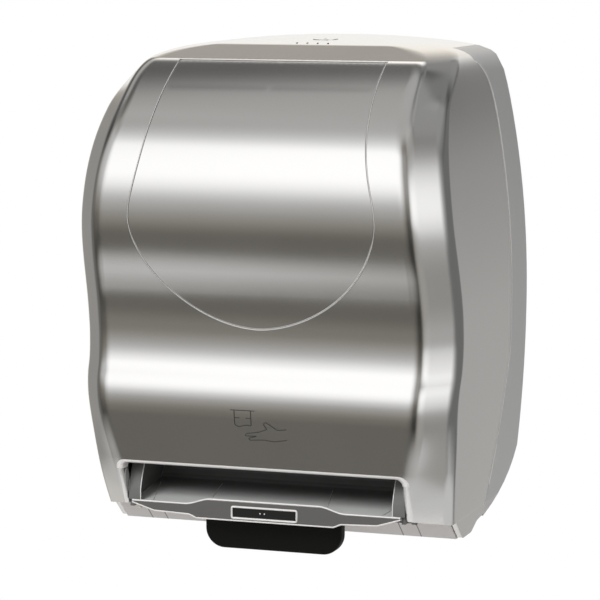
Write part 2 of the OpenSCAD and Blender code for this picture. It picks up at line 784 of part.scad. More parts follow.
module pinch_shaft() color(steel) on_wall() rod_x(pinch_shaft_r, -pinch_end_x, pinch_end_x, pinch_d, feed_z);
module pinch_sleeves() color([0.2, 0.2, 0.2]) on_wall() sleeves(pinch_r, pinch_shaft_r, pinch_d, feed_z);
block_lip = 1.5;
module pinch_block(x0, x1, lip) block([x0, x1], [-pinch_d - block_y / 2, -pinch_d + block_y / 2],
    [feed_z - block_z / 2 - lip, feed_z + block_z / 2 + lip]);
module pinch_blocks() color([0.9, 0.9, 0.86]) on_wall() both_sides() difference() {
    union() {
        pinch_block(plate_in - eps, block_x + block_w, 0);
        pinch_block(block_x, plate_in, block_lip);
    }
    rod_x(pinch_shaft_r + run_gap, block_x - 1, block_x + block_w + 1, pinch_d, feed_z);
}

// Coil springs: one unbroken six-sided tube along a helix whose axis is +Z
spring_sides = 6;
rings_per_curl = 8;
function coil_path(r, pitch, turns) = [for (i = [0:turns * rings_per_curl]) let (a = 360 * i / rings_per_curl)
    [r * cos(a), r * sin(a), pitch * a / 360]];
function unit(v) = v / norm(v);
module tube(path, r) {
    n = len(path);
    rings = [for (i = [0:n - 1]) let (
            ahead = unit(path[min(n - 1, i + 1)] - path[max(0, i - 1)]),
            out = unit(cross([0, 0, 1], ahead)),
            up = cross(ahead, out))
        [for (j = [0:spring_sides - 1]) let (a = 360 * j / spring_sides)
            path[i] + r * (cos(a) * out + sin(a) * up)]];
    m = spring_sides;
    sides = [for (i = [0:n - 2], j = [0:m - 1]) let (k = (j + 1) % m, a = i * m, b = a + m)
        each [[a + j, b + j, b + k], [a + j, b + k, a + k]]];
    polyhedron([for (ring = rings) each ring],
        concat([[for (j = [0:m - 1]) j]], sides, [[for (j = [m - 1:-1:0]) (n - 1) * m + j]]));
}
// Smallest distance between the wire of one turn and the next, taken over all points of the path
function self_gap(path, wire_r) = let (n = len(path), apart = rings_per_curl / 2)
    min([for (i = [0:n - 1], j = [i + apart:1:n - 1]) norm(path[i] - path[j])]) - 2 * wire_r;
module coil(r, wire_r, length, turns) {
    path = coil_path(r, length / turns, turns);
    tube(path, wire_r);
    echo(coil_self_gap = self_gap(path, wire_r));
}
seat_gap = 0.1;
pinch_coil_r = 3.2;
pinch_wire_r = 0.4;
pinch_turns = 5;
module pinch_springs() color(steel) on_wall() both_sides()
    translate([(plate_in + plate_out) / 2, -pinch_d - block_y / 2 - pinch_wire_r - seat_gap, feed_z])
        rotate([90, 0, 0])
            coil(pinch_coil_r, pinch_wire_r, spring_room - 2 * pinch_wire_r - 2 * seat_gap, pinch_turns);

// Involute gears drawn in the (y, z) plane with a tooth on the given angle
pressure = 20;
function spread(rb, r) = let (a = acos(min(1, rb / r))) tan(a) * 180 / PI - a;
function on_circle(r, a) = [r * cos(a), r * sin(a)];
function tooth(m, n, play, at) =
    let (
        rp = m * n / 2,
        rb = rp * cos(pressure),
        ra = rp + 0.95 * m,
        rf = rp - 1.2 * m,
        start = max(rb, rf),
        half = 90 / n - play / 4 / rp * 180 / PI + spread(rb, rp),
        flank = [for (s = [0, 0.5, 1]) let (r = lerp(start, ra, s)) [r, half - spread(rb, r)]]
    )
    concat(
        [on_circle(rf, at - half)],
        [for (f = flank) on_circle(f[0], at - f[1])],
        [for (i = [2:-1:0]) on_circle(flank[i][0], at + flank[i][1])],
        [on_circle(rf, at + half)]
    );
module gear(m, n, play, at, from = 0, to = 0) {
    last = to == from ? n - 1 : to;
    points = [for (i = [from:last]) each tooth(m, n, play, at + 360 / n * i)];
    polygon(to == from ? points : concat(points, [[0, 0]]));
}
mesh_motor = motor_angle + 180;
mesh_idler = idler_angle + 180;
motor_shaft_r = 1.5;
idler_pin_r = 2.5;
module motor_pinion() color(brass) on_wall() along_x(gear_x2, gear_x3) translate(motor_pos)
    difference() {
        gear(gear_module, pinion_teeth, gear_play, mesh_motor);
        circle(motor_shaft_r);
    }
module idler_gear() color(gear_white) on_wall() difference() {
    union() {
        along_x(gear_x2, gear_x3) translate(idler_pos)
            gear(gear_module, idler_teeth, gear_play, motor_angle + 180 / idler_teeth);
        along_x(gear_x0, gear_x2 + eps) translate(idler_pos)
            gear(gear_module, idler_small_teeth, gear_play, mesh_idler);
    }
    rod_x(idler_pin_r + run_gap, gear_x0 - 1, gear_x3 + 1, -idler_pos[0], idler_pos[1]);
}
module idler_pin() color(steel) on_wall() {
    rod_x(idler_pin_r, plate_in, gear_x3 + 2.5, -idler_pos[0], idler_pos[1]);
    rod_x(idler_pin_r + 2, plate_out, gear_x0 - 0.3, -idler_pos[0], idler_pos[1]);
}
module roller_gear() color(gear_white) on_wall() along_x(gear_x0, gear_x1) translate([-feed_d, feed_z])
    difference() {
        gear(gear_module, roller_teeth, gear_play, idler_angle + 180 / roller_teeth);
        circle(feed_shaft_r);
    }

motor_tail = 3;
module motor_rod(r, x0, x1) rod_x(r, x0, x1, -motor_pos[0], motor_pos[1]);
module drive_motor() color([0.7, 0.7, 0.72]) on_wall() difference() {
    union() {
        motor_rod(motor_r, plate_in - motor_len, plate_in);
        motor_rod(motor_boss_r, plate_in - eps, plate_out);
        motor_rod(motor_boss_r, plate_in - motor_len - motor_tail, plate_in - motor_len + eps);
    }
    motor_rod(motor_shaft_r + run_gap, plate_in - motor_len, plate_out + 1);
}
module motor_shaft() color(steel) on_wall() motor_rod(motor_shaft_r, plate_in - motor_len + 1, gear_x3 + 0.5);

// Cover over the motor gears
gear_cover_x = gear_x3 + 1.5;
gear_cover_t = 2;
gear_room = 2.5;
block_room = 1;
neck_h = 16;
idler_tip = gear_module * (idler_teeth / 2 + 1) + gear_room;
roller_tip = gear_module * (roller_teeth / 2 + 1) + gear_room;
module gear_cover_outline(grow) {
    translate([-feed_d, feed_z]) circle(roller_tip + grow);
    translate(idler_pos) circle(idler_tip + grow);
    translate(motor_pos) circle(motor_boss_r + 5 + grow);
    translate([motor_pos[0] - motor_run, motor_pos[1] - neck_h / 2]) square([motor_run, neck_h]);
}
module gear_cover() color(arm_grey) on_wall() difference() {
    along_x(plate_out, gear_cover_x + gear_cover_t) gear_cover_outline(gear_cover_t);
    along_x(plate_out - 1, gear_cover_x) gear_cover_outline(0);
    rod_x(idler_pin_r, plate_out, gear_cover_x + 5, -idler_pos[0], idler_pos[1]);
    block([plate_out - 1, block_x + block_w + block_room],
        [-pinch_d - block_y, -pinch_d + block_y / 2 + block_room],
        [feed_z - block_z / 2 - block_room, feed_z + block_z / 2 + block_room]);
}

// Push lever, its shaft, and the toothed sector that turns the clutch pinion on the feed shaft
arm_x = lever_w / 2 - 8;
arm_w = 5;
lever_top_z = 12.5;
lever_shell = 2.5;
module lever_outline(inset) {
    w = lever_w / 2 - inset;
    low = -lever_drop + inset;
    r = lever_corner_r - inset;
    translate([-w, low + r]) square([2 * w, lever_top_z - inset - low - r]);
    translate([-w + r, low]) square([2 * (w - r), r + 1]);
    for (s = [-1, 1]) translate([s * (w - r), low + r]) circle(r);
}
module lever() color(black) on_wall() difference() {
    union() {
        difference() {
            along_y(-lever_face_d, -lever_face_d + lever_t) lever_outline(0);
            along_y(-lever_face_d + lever_shell, -lever_face_d + lever_t + 1) lever_outline(lever_shell);
        }
        both_sides() along_x(arm_x - arm_w, arm_x) {
            translate([-lever_d, lever_z]) circle(shaft_r + 2);
            polygon([
                [-lever_d - shaft_r, lever_z - shaft_r - 1], [-lever_d + shaft_r, lever_z - shaft_r - 1],
                [-lever_face_d + lever_t, 2], [-lever_face_d + 1, 2], [-lever_face_d + 1, lever_top_z - eps],
                [-lever_d - shaft_r, lever_z + shaft_r]
            ]);
        }
    }
    rod_x(shaft_r, -case_w, case_w, lever_d, lever_z);
}
module lever_shaft() color(steel) on_wall()
    rod_x(shaft_r, -gear_x1 - 1, bearing_x + bearing_w + 2, lever_d, lever_z);
feed_angle = atan2(feed_z - lever_z, lever_d - feed_d);
sector_margin = 2;
sector_back = ceil(lever_stroke / (360 / sector_teeth)) + sector_margin;
sector_hub_r = shaft_r + 3.4;
module lever_sector() color(gear_white) on_wall() along_x(-gear_x1, -gear_x0) translate([-lever_d, lever_z])
    difference() {
        union() {
            gear(sector_module, sector_teeth, gear_play, feed_angle, -sector_back, sector_margin);
            circle(sector_hub_r);
        }
        circle(shaft_r);
    }
module clutch_pinion() color(brass) on_wall() along_x(-gear_x1, -gear_x0) translate([-feed_d, feed_z])
    difference() {
        gear(sector_module, clutch_teeth, gear_play, feed_angle + 180 + 180 / clutch_teeth);
        circle(feed_shaft_r + run_gap);
    }
lever_coil_r = 4.4;
lever_wire_r = 0.6;
lever_turns = 6;
lever_coil_len = 11.4;
lever_coil_gap = 1.2;
module lever_spring() color(steel) on_wall() translate([bearing_x - lever_coil_gap, -lever_d, lever_z])
    rotate([0, -90, 0]) coil(lever_coil_r, lever_wire_r, lever_coil_len, lever_turns);

// Battery box with four cells, two in a row and two rows, behind a drop-down door
cell_r = cell_dia / 2;
spring_len = 8;
cell_tip = 2.2;
bay_l = cell_len + cell_tip + spring_len;
box_w = 2 * bay_l + 3 * box_wall;
row_pitch = cell_dia + 1;
box_h = 2 * row_pitch + 2 * box_wall;
box_depth = cell_dia + 1 + box_wall;
box_back = wall;
door_t = 2.5;
door_gap = 0.4;
door_face = box_back + box_depth;
knuckle_r = 3;
door_pin_r = 1.25;
knuckle_w = 6;
knuckle_in = 8;
door_axis_d = door_face + knuckle_r + 0.5;
door_axis_z = box_z + knuckle_r;
module battery_box() color([0.22, 0.22, 0.23]) on_wall() {
    difference() {
        block([box_x, box_x + box_w], [-door_face, -box_back], [box_z, box_z + box_h]);
        for (i = [0, 1]) block([cell_x(i), cell_x(i) + bay_l], [-door_face - 1, -box_back - box_wall],
            [box_z + box_wall, box_z + box_h - box_wall]);
    }
    knuckles = [box_x + knuckle_in, box_x + box_w - knuckle_in - knuckle_w];
    for (x = knuckles) along_x(x, x + knuckle_w) difference() {
        union() {
            translate([-door_axis_d, door_axis_z]) circle(knuckle_r);
            translate([-door_axis_d, door_axis_z - knuckle_r]) square([knuckle_r + 0.5 + eps, 2 * knuckle_r]);
        }
        translate([-door_axis_d, door_axis_z]) circle(door_pin_r);
    }
}
function cell_x(i) = box_x + box_wall + i * (bay_l + box_wall);
function cell_z(j) = box_z + box_wall + row_pitch * (j + 0.5);
cell_axis_d = box_back + box_wall + cell_r + 0.3;
module battery_cells() color([0.75, 0.45, 0.15]) on_wall() for (i = [0, 1], j = [0, 1]) {
    rod_x(cell_r, cell_x(i) + spring_len, cell_x(i) + spring_len + cell_len, cell_axis_d, cell_z(j));
    rod_x(4.75, cell_x(i) + spring_len + cell_len - eps, cell_x(i) + bay_l, cell_axis_d, cell_z(j));
}
contact_coil_r = 6;
contact_wire_r = 0.5;
contact_turns = 4;
module battery_springs() color(steel) on_wall() for (i = [0, 1], j = [0, 1])
    translate([cell_x(i) + contact_wire_r + seat_gap, -cell_axis_d, cell_z(j)]) rotate([0, 90, 0])
        coil(contact_coil_r, contact_wire_r, spring_len - 2 * contact_wire_r - 2 * seat_gap, contact_turns);
door_low_z = door_axis_z + knuckle_r + 1;
knob_r = 4;
knob_h = 2.5;
module battery_door() color([0.26, 0.26, 0.27]) on_wall() {
    from = knuckle_in + knuckle_w + door_gap;
    inner = door_face + door_gap;
    block([box_x, box_x + box_w], [-inner - door_t, -inner], [door_low_z, box_z + box_h]);
    along_x(box_x + from, box_x + box_w - from) difference() {
        union() {
            translate([-door_axis_d, door_axis_z]) circle(knuckle_r);
            translate([-door_axis_d - knuckle_r, door_axis_z])
                square([door_axis_d + knuckle_r - inner, knuckle_r + 3]);
        }
        translate([-door_axis_d, door_axis_z]) circle(door_pin_r + run_gap);
    }
    translate([box_x + box_w / 2, -inner - door_t + eps, box_z + box_h - 2 * knob_r]) rotate([90, 0, 0])
        cylinder(r = knob_r, h = knob_h);
}
module door_pins() color(steel) on_wall()
    rod_x(door_pin_r, box_x + knuckle_in, box_x + box_w - knuckle_in, door_axis_d, door_axis_z);

// Control box on the frame, with its board, the feed button and the towel length switch
control_x1 = plate_in;
control_x0 = control_x1 - control_w;
control_d = 120;
control_z = frame_top_z - 20;
control_wall = 2;
button_r = 6;
button_x = control_x0 + 18;
button_d = control_d - 20;
switch_x = control_x0 + 46;
switch_l = 10;
switch_w = 6;
lid_z = control_z + control_h - control_wall;
lid_gap = 0.3;
slide_gap = 0.3;
foot_h = 4.3;
slide_foot_z = lid_z - lid_gap - foot_h;
button_flange_t = 2;
button_base_z = lid_z - lid_gap - button_flange_t;
button_rise = 1.5;
press_gap = 0.2;
board_z = control_z + 4;
board_top_z = board_z + board_t;
chip = [12, 10, 2.4];
can_r = 4;
can_h = 9;
module control_box() color([0.24, 0.25, 0.26]) on_wall() difference() {
    block([control_x0, control_x1], [-control_d, -control_d + control_l], [control_z, control_z + control_h]);
    block([control_x0 + control_wall, control_x1 - control_wall],
        [-control_d + control_wall, -control_d + control_l - control_wall], [control_z - 1, lid_z]);
    translate([button_x, -button_d, control_z]) cylinder(r = button_r + lid_gap, h = control_h + 5);
    block([switch_x - switch_l / 2, switch_x + switch_l / 2],
        [-button_d - switch_w / 2, -button_d + switch_w / 2], [control_z, control_z + control_h + 5]);
}
module control_board() color([0.05, 0.3, 0.15]) on_wall() {
    block([control_x0 + control_wall, control_x1 - control_wall],
        [-control_d + control_wall, -control_d + control_l - control_wall], [board_z, board_top_z]);
    translate([control_x0 + 8, -control_d + 34, board_top_z - eps]) cube(chip);
    translate([control_x1 - 2 * can_r, -control_d + 36, board_top_z - eps]) cylinder(r = can_r, h = can_h);
    translate([button_x, -button_d, board_top_z - eps])
        cylinder(r = 2.5, h = button_base_z - button_travel - press_gap - board_top_z);
    block([switch_x - 8, switch_x + 8], [-button_d - 5, -button_d + 5],
        [board_top_z - eps, slide_foot_z - slide_gap]);
}
module feed_button() color([0.75, 0.1, 0.08]) on_wall() translate([button_x, -button_d, button_base_z]) {
    cylinder(r = button_r, h = button_flange_t + lid_gap + control_wall + button_travel + button_rise);
    cylinder(r = button_r + 1.5, h = button_flange_t);
}
module length_switch() color([0.9, 0.9, 0.9]) on_wall() {
    y = [-button_d - switch_w / 2 + slide_gap, -button_d + switch_w / 2 - slide_gap];
    block([switch_x - 5.5, switch_x + 2.5], y, [slide_foot_z, lid_z - lid_gap]);
    block([switch_x - switch_l / 2 + slide_gap, switch_x - 1], y,
        [lid_z - lid_gap - eps, lid_z + control_wall + 2.5]);
}

// Roll arms with their core plugs: the left arm is fixed, the right one swings out on a pin
roll_top_z = case_h - roll_top_room;
roll_dia = roll_top_z - control_z - control_h - roll_low_room;
roll_z = roll_top_z - roll_dia / 2;
arm_in = roll_w / 2 + arm_room;
arm_out = arm_in + arm_t;
hub_r = 22;
plug_base_r = core_bore / 2 - plug_gap;
plug_tip_r = plug_base_r - 3.2;
plug_flange_r = core_bore / 2 + 4;
plug_end_gap = 0.4;
arm_root_h = 56;
module arm_outline(root_d) hull() {
    translate([-roll_d, roll_z]) circle(hub_r);
    translate([-root_d - 2, roll_z - arm_root_h / 2]) square([2, arm_root_h]);
}
module plug() translate([arm_in, -roll_d, roll_z]) rotate([0, -90, 0]) {
    cylinder(r = plug_flange_r, h = arm_room - plug_end_gap);
    cylinder(r = plug_base_r, h = arm_room);
    translate([0, 0, arm_room]) cylinder(r1 = plug_base_r, r2 = plug_tip_r, h = plug_in);
}
foot_w = 16;
foot_t = 4;
module left_arm() color(arm_grey) on_wall() mirror([1, 0, 0]) {
    along_x(arm_in, arm_out) arm_outline(wall);
    block([arm_in, arm_in + foot_w], [-wall - foot_t, -wall],
        [roll_z - arm_root_h / 2, roll_z + arm_root_h / 2]);
}
module left_plug() color([0.2, 0.35, 0.5]) on_wall() mirror([1, 0, 0]) plug();
module right_plug() color([0.2, 0.35, 0.5]) on_wall() plug();
pivot_x = arm_in + 9;
pivot_d = wall + foot_t + 7.5;
barrel_r = 6;
arm_pin_r = 2.5;
barrel_down = 8;
barrel_up = 20;
spring_down = 20;
barrel_z0 = roll_z - barrel_down;
barrel_z1 = roll_z + barrel_up;
spring_z0 = roll_z - spring_down;
cheek_h = 9;
module right_arm() color(arm_grey) on_wall() difference() {
    union() {
        difference() {
            along_x(arm_in, arm_out) arm_outline(pivot_d);
            for (z = [[roll_z - arm_root_h, barrel_z0], [barrel_z1, roll_z + arm_root_h]])
                block([arm_in - 1, arm_out + 1], [-pivot_d - barrel_r - 3, 0], z);
        }
        translate([pivot_x, -pivot_d, barrel_z0]) cylinder(r = barrel_r, h = barrel_z1 - barrel_z0);
        block([arm_in, pivot_x], [-pivot_d - barrel_r, -pivot_d + 2], [barrel_z0, barrel_z1]);
    }
    translate([pivot_x, -pivot_d, barrel_z0 - 1]) cylinder(r = arm_pin_r + run_gap, h = 60);
}
cheek_gap = 0.3;
cheek_low_z = spring_z0 - cheek_h;
cheek_top_z = barrel_z1 + cheek_gap + cheek_h;
module arm_bracket() color(arm_grey) on_wall() difference() {
    union() {
        block([pivot_x - 8, pivot_x + 10], [-wall - foot_t, -wall], [cheek_low_z - 4, cheek_top_z + 4]);
        for (z = [cheek_low_z, barrel_z1 + cheek_gap]) {
            translate([pivot_x, -pivot_d, z]) cylinder(r = barrel_r, h = cheek_h);
            block([pivot_x - barrel_r, pivot_x + barrel_r], [-pivot_d, -wall - foot_t + eps],
                [z, z + cheek_h]);
        }
    }
    translate([pivot_x, -pivot_d, cheek_low_z - 1])
        cylinder(r = arm_pin_r, h = cheek_top_z - cheek_low_z + 2);
}
module arm_pin() color(steel) on_wall()
    translate([pivot_x, -pivot_d, cheek_low_z]) cylinder(r = arm_pin_r, h = cheek_top_z - cheek_low_z);
arm_coil_r = 4;
arm_wire_r = 0.6;
arm_turns = 6;
module arm_spring() color(steel) on_wall() translate([pivot_x, -pivot_d, spring_z0 + arm_wire_r + seat_gap])
    coil(arm_coil_r, arm_wire_r, barrel_z0 - spring_z0 - 2 * arm_wire_r - 4 * seat_gap, arm_turns);

// Towel roll on its card core
core_r = core_bore / 2 + core_wall;
module roll_core() color([0.72, 0.58, 0.4]) on_wall() difference() {
    rod_x(core_r, -roll_w / 2, roll_w / 2, roll_d, roll_z);
    rod_x(core_bore / 2, -roll_w / 2 - 1, roll_w / 2 + 1, roll_d, roll_z);
}
module towel_roll() color([0.95, 0.94, 0.9]) on_wall() difference() {
    rod_x(roll_dia / 2, -roll_w / 2, roll_w / 2, roll_d, roll_z);
    rod_x(core_r, -roll_w / 2 - 1, roll_w / 2 + 1, roll_d, roll_z);
}

// Pan-head screws that hold the frame to its posts
module frame_screws() color(steel) on_wall() for (x = [-post_x, post_x], d = [post_front_d, post_rear_d])
    translate([x, -d, frame_z + plate_t]) difference() {
        union() {
            cylinder(r = 3, h = 2);
            translate([0, 0, -plate_t - 8]) cylinder(r = screw_r, h = plate_t + 8.5);
        }
        translate([-0.4, -2.2, 1.2]) cube([0.8, 4.4, 2]);
        translate([-2.2, -0.4, 1.2]) cube([4.4, 0.8, 2]);
    }

rear_housing();
front_cover();
window_panel();
hinge_pins();
lock_barrel();
lock_plug();
lock_cam();
left_frame();
right_frame();
chute();
front_beam();
tear_bar();
sensor_window();
sensor_board();
ir_pair();
feed_shaft();
feed_sleeves();
roller_bushes();
pinch_shaft();
pinch_sleeves();
pinch_blocks();
pinch_springs();
drive_motor();
motor_shaft();
motor_pinion();
idler_gear();
idler_pin();
roller_gear();
gear_cover();
lever();
lever_shaft();
lever_sector();
clutch_pinion();
lever_spring();
battery_box();
battery_cells();
battery_springs();
battery_door();
door_pins();
control_box();
control_board();
feed_button();
length_switch();
left_arm();
left_plug();
right_arm();
right_plug();
arm_bracket();
arm_pin();
arm_spring();
roll_core();
towel_roll();
frame_screws();
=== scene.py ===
"""Looks of a roll towel dispenser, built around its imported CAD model.

The file is laid out as an add-on and run as a script. Heights are measured from the base band, as in the part's
source, and row() moves them to the frame, whose origin is the centre of the wall screws.
"""
import json
import math

import bmesh
import bpy
import numpy as np
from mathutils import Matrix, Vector, geometry


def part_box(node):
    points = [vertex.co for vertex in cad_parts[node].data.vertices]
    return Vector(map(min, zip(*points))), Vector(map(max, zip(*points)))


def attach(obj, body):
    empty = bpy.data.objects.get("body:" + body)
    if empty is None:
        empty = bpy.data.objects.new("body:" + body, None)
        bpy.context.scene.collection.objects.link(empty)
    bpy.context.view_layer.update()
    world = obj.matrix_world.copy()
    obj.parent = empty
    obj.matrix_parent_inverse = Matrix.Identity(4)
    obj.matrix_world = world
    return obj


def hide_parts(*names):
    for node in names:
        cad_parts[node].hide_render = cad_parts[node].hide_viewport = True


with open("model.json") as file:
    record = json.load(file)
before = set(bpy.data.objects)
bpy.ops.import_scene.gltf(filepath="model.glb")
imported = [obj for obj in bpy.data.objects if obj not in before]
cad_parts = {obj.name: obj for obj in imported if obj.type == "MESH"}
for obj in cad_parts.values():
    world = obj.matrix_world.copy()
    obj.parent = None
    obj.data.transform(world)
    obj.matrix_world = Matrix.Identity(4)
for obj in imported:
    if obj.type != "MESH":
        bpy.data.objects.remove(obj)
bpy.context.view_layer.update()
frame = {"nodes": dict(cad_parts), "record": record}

bl_info = {
    "name": "Roll towel dispenser",
    "version": (1, 0, 0),
    "blender": (4, 5, 0),
    "location": "View3D > Sidebar > Dispenser",
    "description": "Builds the shells, fittings, finishes and stage of a roll towel dispenser",
    "category": "Object",
}

SCREW_Z = 0.235
SIDES = (-1, 1)


def length(name, description, default):
    return bpy.props.FloatProperty(
        name=name, description=description, default=default, unit="LENGTH", precision=4, min=0.0)


def tint(name, description, default):
    return bpy.props.FloatVectorProperty(
        name=name, description=description, default=default, size=3, subtype="COLOR", min=0.0, max=1.0)


class CaseSizes(bpy.types.PropertyGroup):
    """Driving sizes of the case, the same as in the part's source."""
    width: length("Width", "Width of the case at its widest place", 0.298)
    height: length("Height", "Height from the base band to the top", 0.3745)
    wide_z: length("Widest place", "Height of the widest place", 0.175)
    bow_top_r: length("Upper bow", "Radius of the bowed sides above the widest place", 0.78)
    bow_low_r: length("Lower bow", "Radius of the bowed sides below the widest place", 1.22)
    top_arch_r: length("Top arch", "Radius of the arched top", 0.9)
    foot_z: length("Foot", "Height of the cover's lower edge", 0.016)
    waist_z: length("Waist", "Height of the waist", 0.157)
    waist_d: length("Waist depth", "Depth of the waist", 0.217)
    bulge_z: length("Bulge", "Height of the upper bulge", 0.252)
    bulge_d: length("Bulge depth", "Depth of the upper bulge", 0.237)
    brow_z: length("Brow", "Height of the brow, where the front meets the top", 0.36)
    brow_d: length("Brow depth", "Depth of the brow", 0.1625)
    crown_d: length("Crown depth", "Depth at which the top levels off", 0.115)
    chamfer_w: length("Chamfer width", "Width of the chamfered band at each front corner", 0.0225)
    chamfer_d: length("Chamfer depth", "Depth of the chamfered band", 0.027)
    inner_round: length("Inner rounding", "Reach of the rounding where the band meets the front", 0.008)
    outer_round: length("Outer rounding", "Reach of the rounding where the band meets the side", 0.0085)
    brow_cut: length("Brow cut", "Extra depth of the band at the brow", 0.018)
    wall: length("Wall", "Wall of the cover", 0.003)
    slot_half: length("Slot half width", "Half the width of the towel slot", 0.1107)
    slot_top: length("Slot top", "Height of the slot's upper edge", 0.056)
    slot_round: length("Slot corner", "Radius of the slot's upper corners", 0.005)
    lip_round: length("Slot lip", "Radius of the rolled lip around the slot", 0.0028)
    lip_in: length("Lip depth", "Depth of the slot's turned-in lip", 0.011)
    window_gap: length("Window seam", "Gap around the window panel", 0.00014)


class ShellColours(bpy.types.PropertyGroup):
    """Main colours of the dispenser."""
    shell: tint("Shell", "Satin metal of the cover", (0.76, 0.755, 0.745))
    housing: tint("Housing", "Painted rear housing", (0.68, 0.68, 0.675))
    chute: tint("Chute", "Grey chute and frame", (0.8, 0.82, 0.8))
    lever: tint("Lever", "Black push lever", (0.006, 0.006, 0.0055))
    paper: tint("Towel", "Paper of the towel roll", (0.86, 0.85, 0.82))


def row(points):
    """Bench metres to the frame: only the height's zero changes."""
    return np.asarray(points, float) - np.array([0.0, 0.0, SCREW_Z])


def smooth(s):
    c = np.clip(s, 0.0, 1.0)
    return c * c * (3 - 2 * c)


def hermite(z, z0, d0, m0, z1, d1, m1):
    h = z1 - z0
    s = (z - z0) / h
    return (d0 * (2 * s**3 - 3 * s**2 + 1) + m0 * h * (s**3 - 2 * s**2 + s)
            + d1 * (3 * s**2 - 2 * s**3) + m1 * h * (s**3 - s**2))


def unit(vectors):
    return vectors / np.maximum(np.linalg.norm(vectors, axis=-1, keepdims=True), 1e-15)


def blurred(values, reach):
    """Values averaged over their neighbours on both sides."""
    width = 2 * reach + 1
    return np.convolve(np.pad(values, reach, mode="edge"), np.ones(width) / width, mode="valid")


# Lowest height and step of the form's profile, and how many steps round the creases at the brow and the crown
FORM_LOW = 0.008
FORM_STEP = 0.00025
CREASE = 12
BROW_SLOPE = -1.8
# Slope of the front, depth over height, from the foot up to where the bulge takes over
FIT_Z = 0.205
FRONT_SLOPES = (
    (FORM_LOW, 0.48), (0.016, 0.46), (0.040, 0.33), (0.060, 0.187), (0.094, 0.190), (0.097, 0.145), (0.103, 0.100),
    (0.109, -0.047), (0.115, -0.135), (0.118, -0.200), (0.121, -0.260), (0.127, -0.480), (0.133, -0.250),
    (0.136, -0.180), (0.142, -0.109), (0.148, -0.049), (0.151, -0.027), (0.157, 0.073), (0.160, 0.106),
    (0.166, 0.118), (0.172, 0.155), (0.184, 0.250), (0.190, 0.286), (FIT_Z, 0.316))
CROWN_SHARE = 0.69
RIDGE_D = 0.006
RIDGE_DROP = 0.0001
TONGUE_HALF = 0.106
TONGUE_BACK = 0.0015
# Parting line: its depth, the heights where it starts to lean forward and by how much, and its end below the brow
PART_D = 0.048
PART_LEAN_FROM, PART_LEAN = 0.19, 0.022
PART_FOOT_FROM, PART_FOOT = 0.13, 0.036
PART_DROP = 0.003
# The chamfer grows wider down the legs and narrower towards the brow
LEG_WIDER, BROW_NARROWER = 0.007, 0.008
WINDOW_HALF, WINDOW_TOP_HALF = 0.096, 0.082
WINDOW_WIDE_DROP, WINDOW_LOW_Z, WINDOW_BEND = 0.1285, 0.163, 2 / 1.82
LEG_FROM_D = 0.173
LEG_SLOPE = 0.22
LEG_ROLL = 2.0
EDGE = 0.00045
WINDOW_EDGE = 0.0009
HINGE_D = 0.122
HINGE_Z = 0.008
EAR_R = 0.0075
EAR_T = 0.0033
EAR_INSET = 0.0007
EAR_TOE_D = 0.1465
EAR_FRONT_D = 0.1646
PIN_R = 0.00305
LOCK_D = 0.06
LOCK_R = 0.008
LOCK_PROUD = 0.0003
# Nominal lengths of the parts of a half section: front, inner bend, chamfer, outer bend, side
SPANS = np.array([0.100, 0.017, 0.012, 0.017, 0.190])
STOPS = np.concatenate([[0.0], np.cumsum(SPANS)])


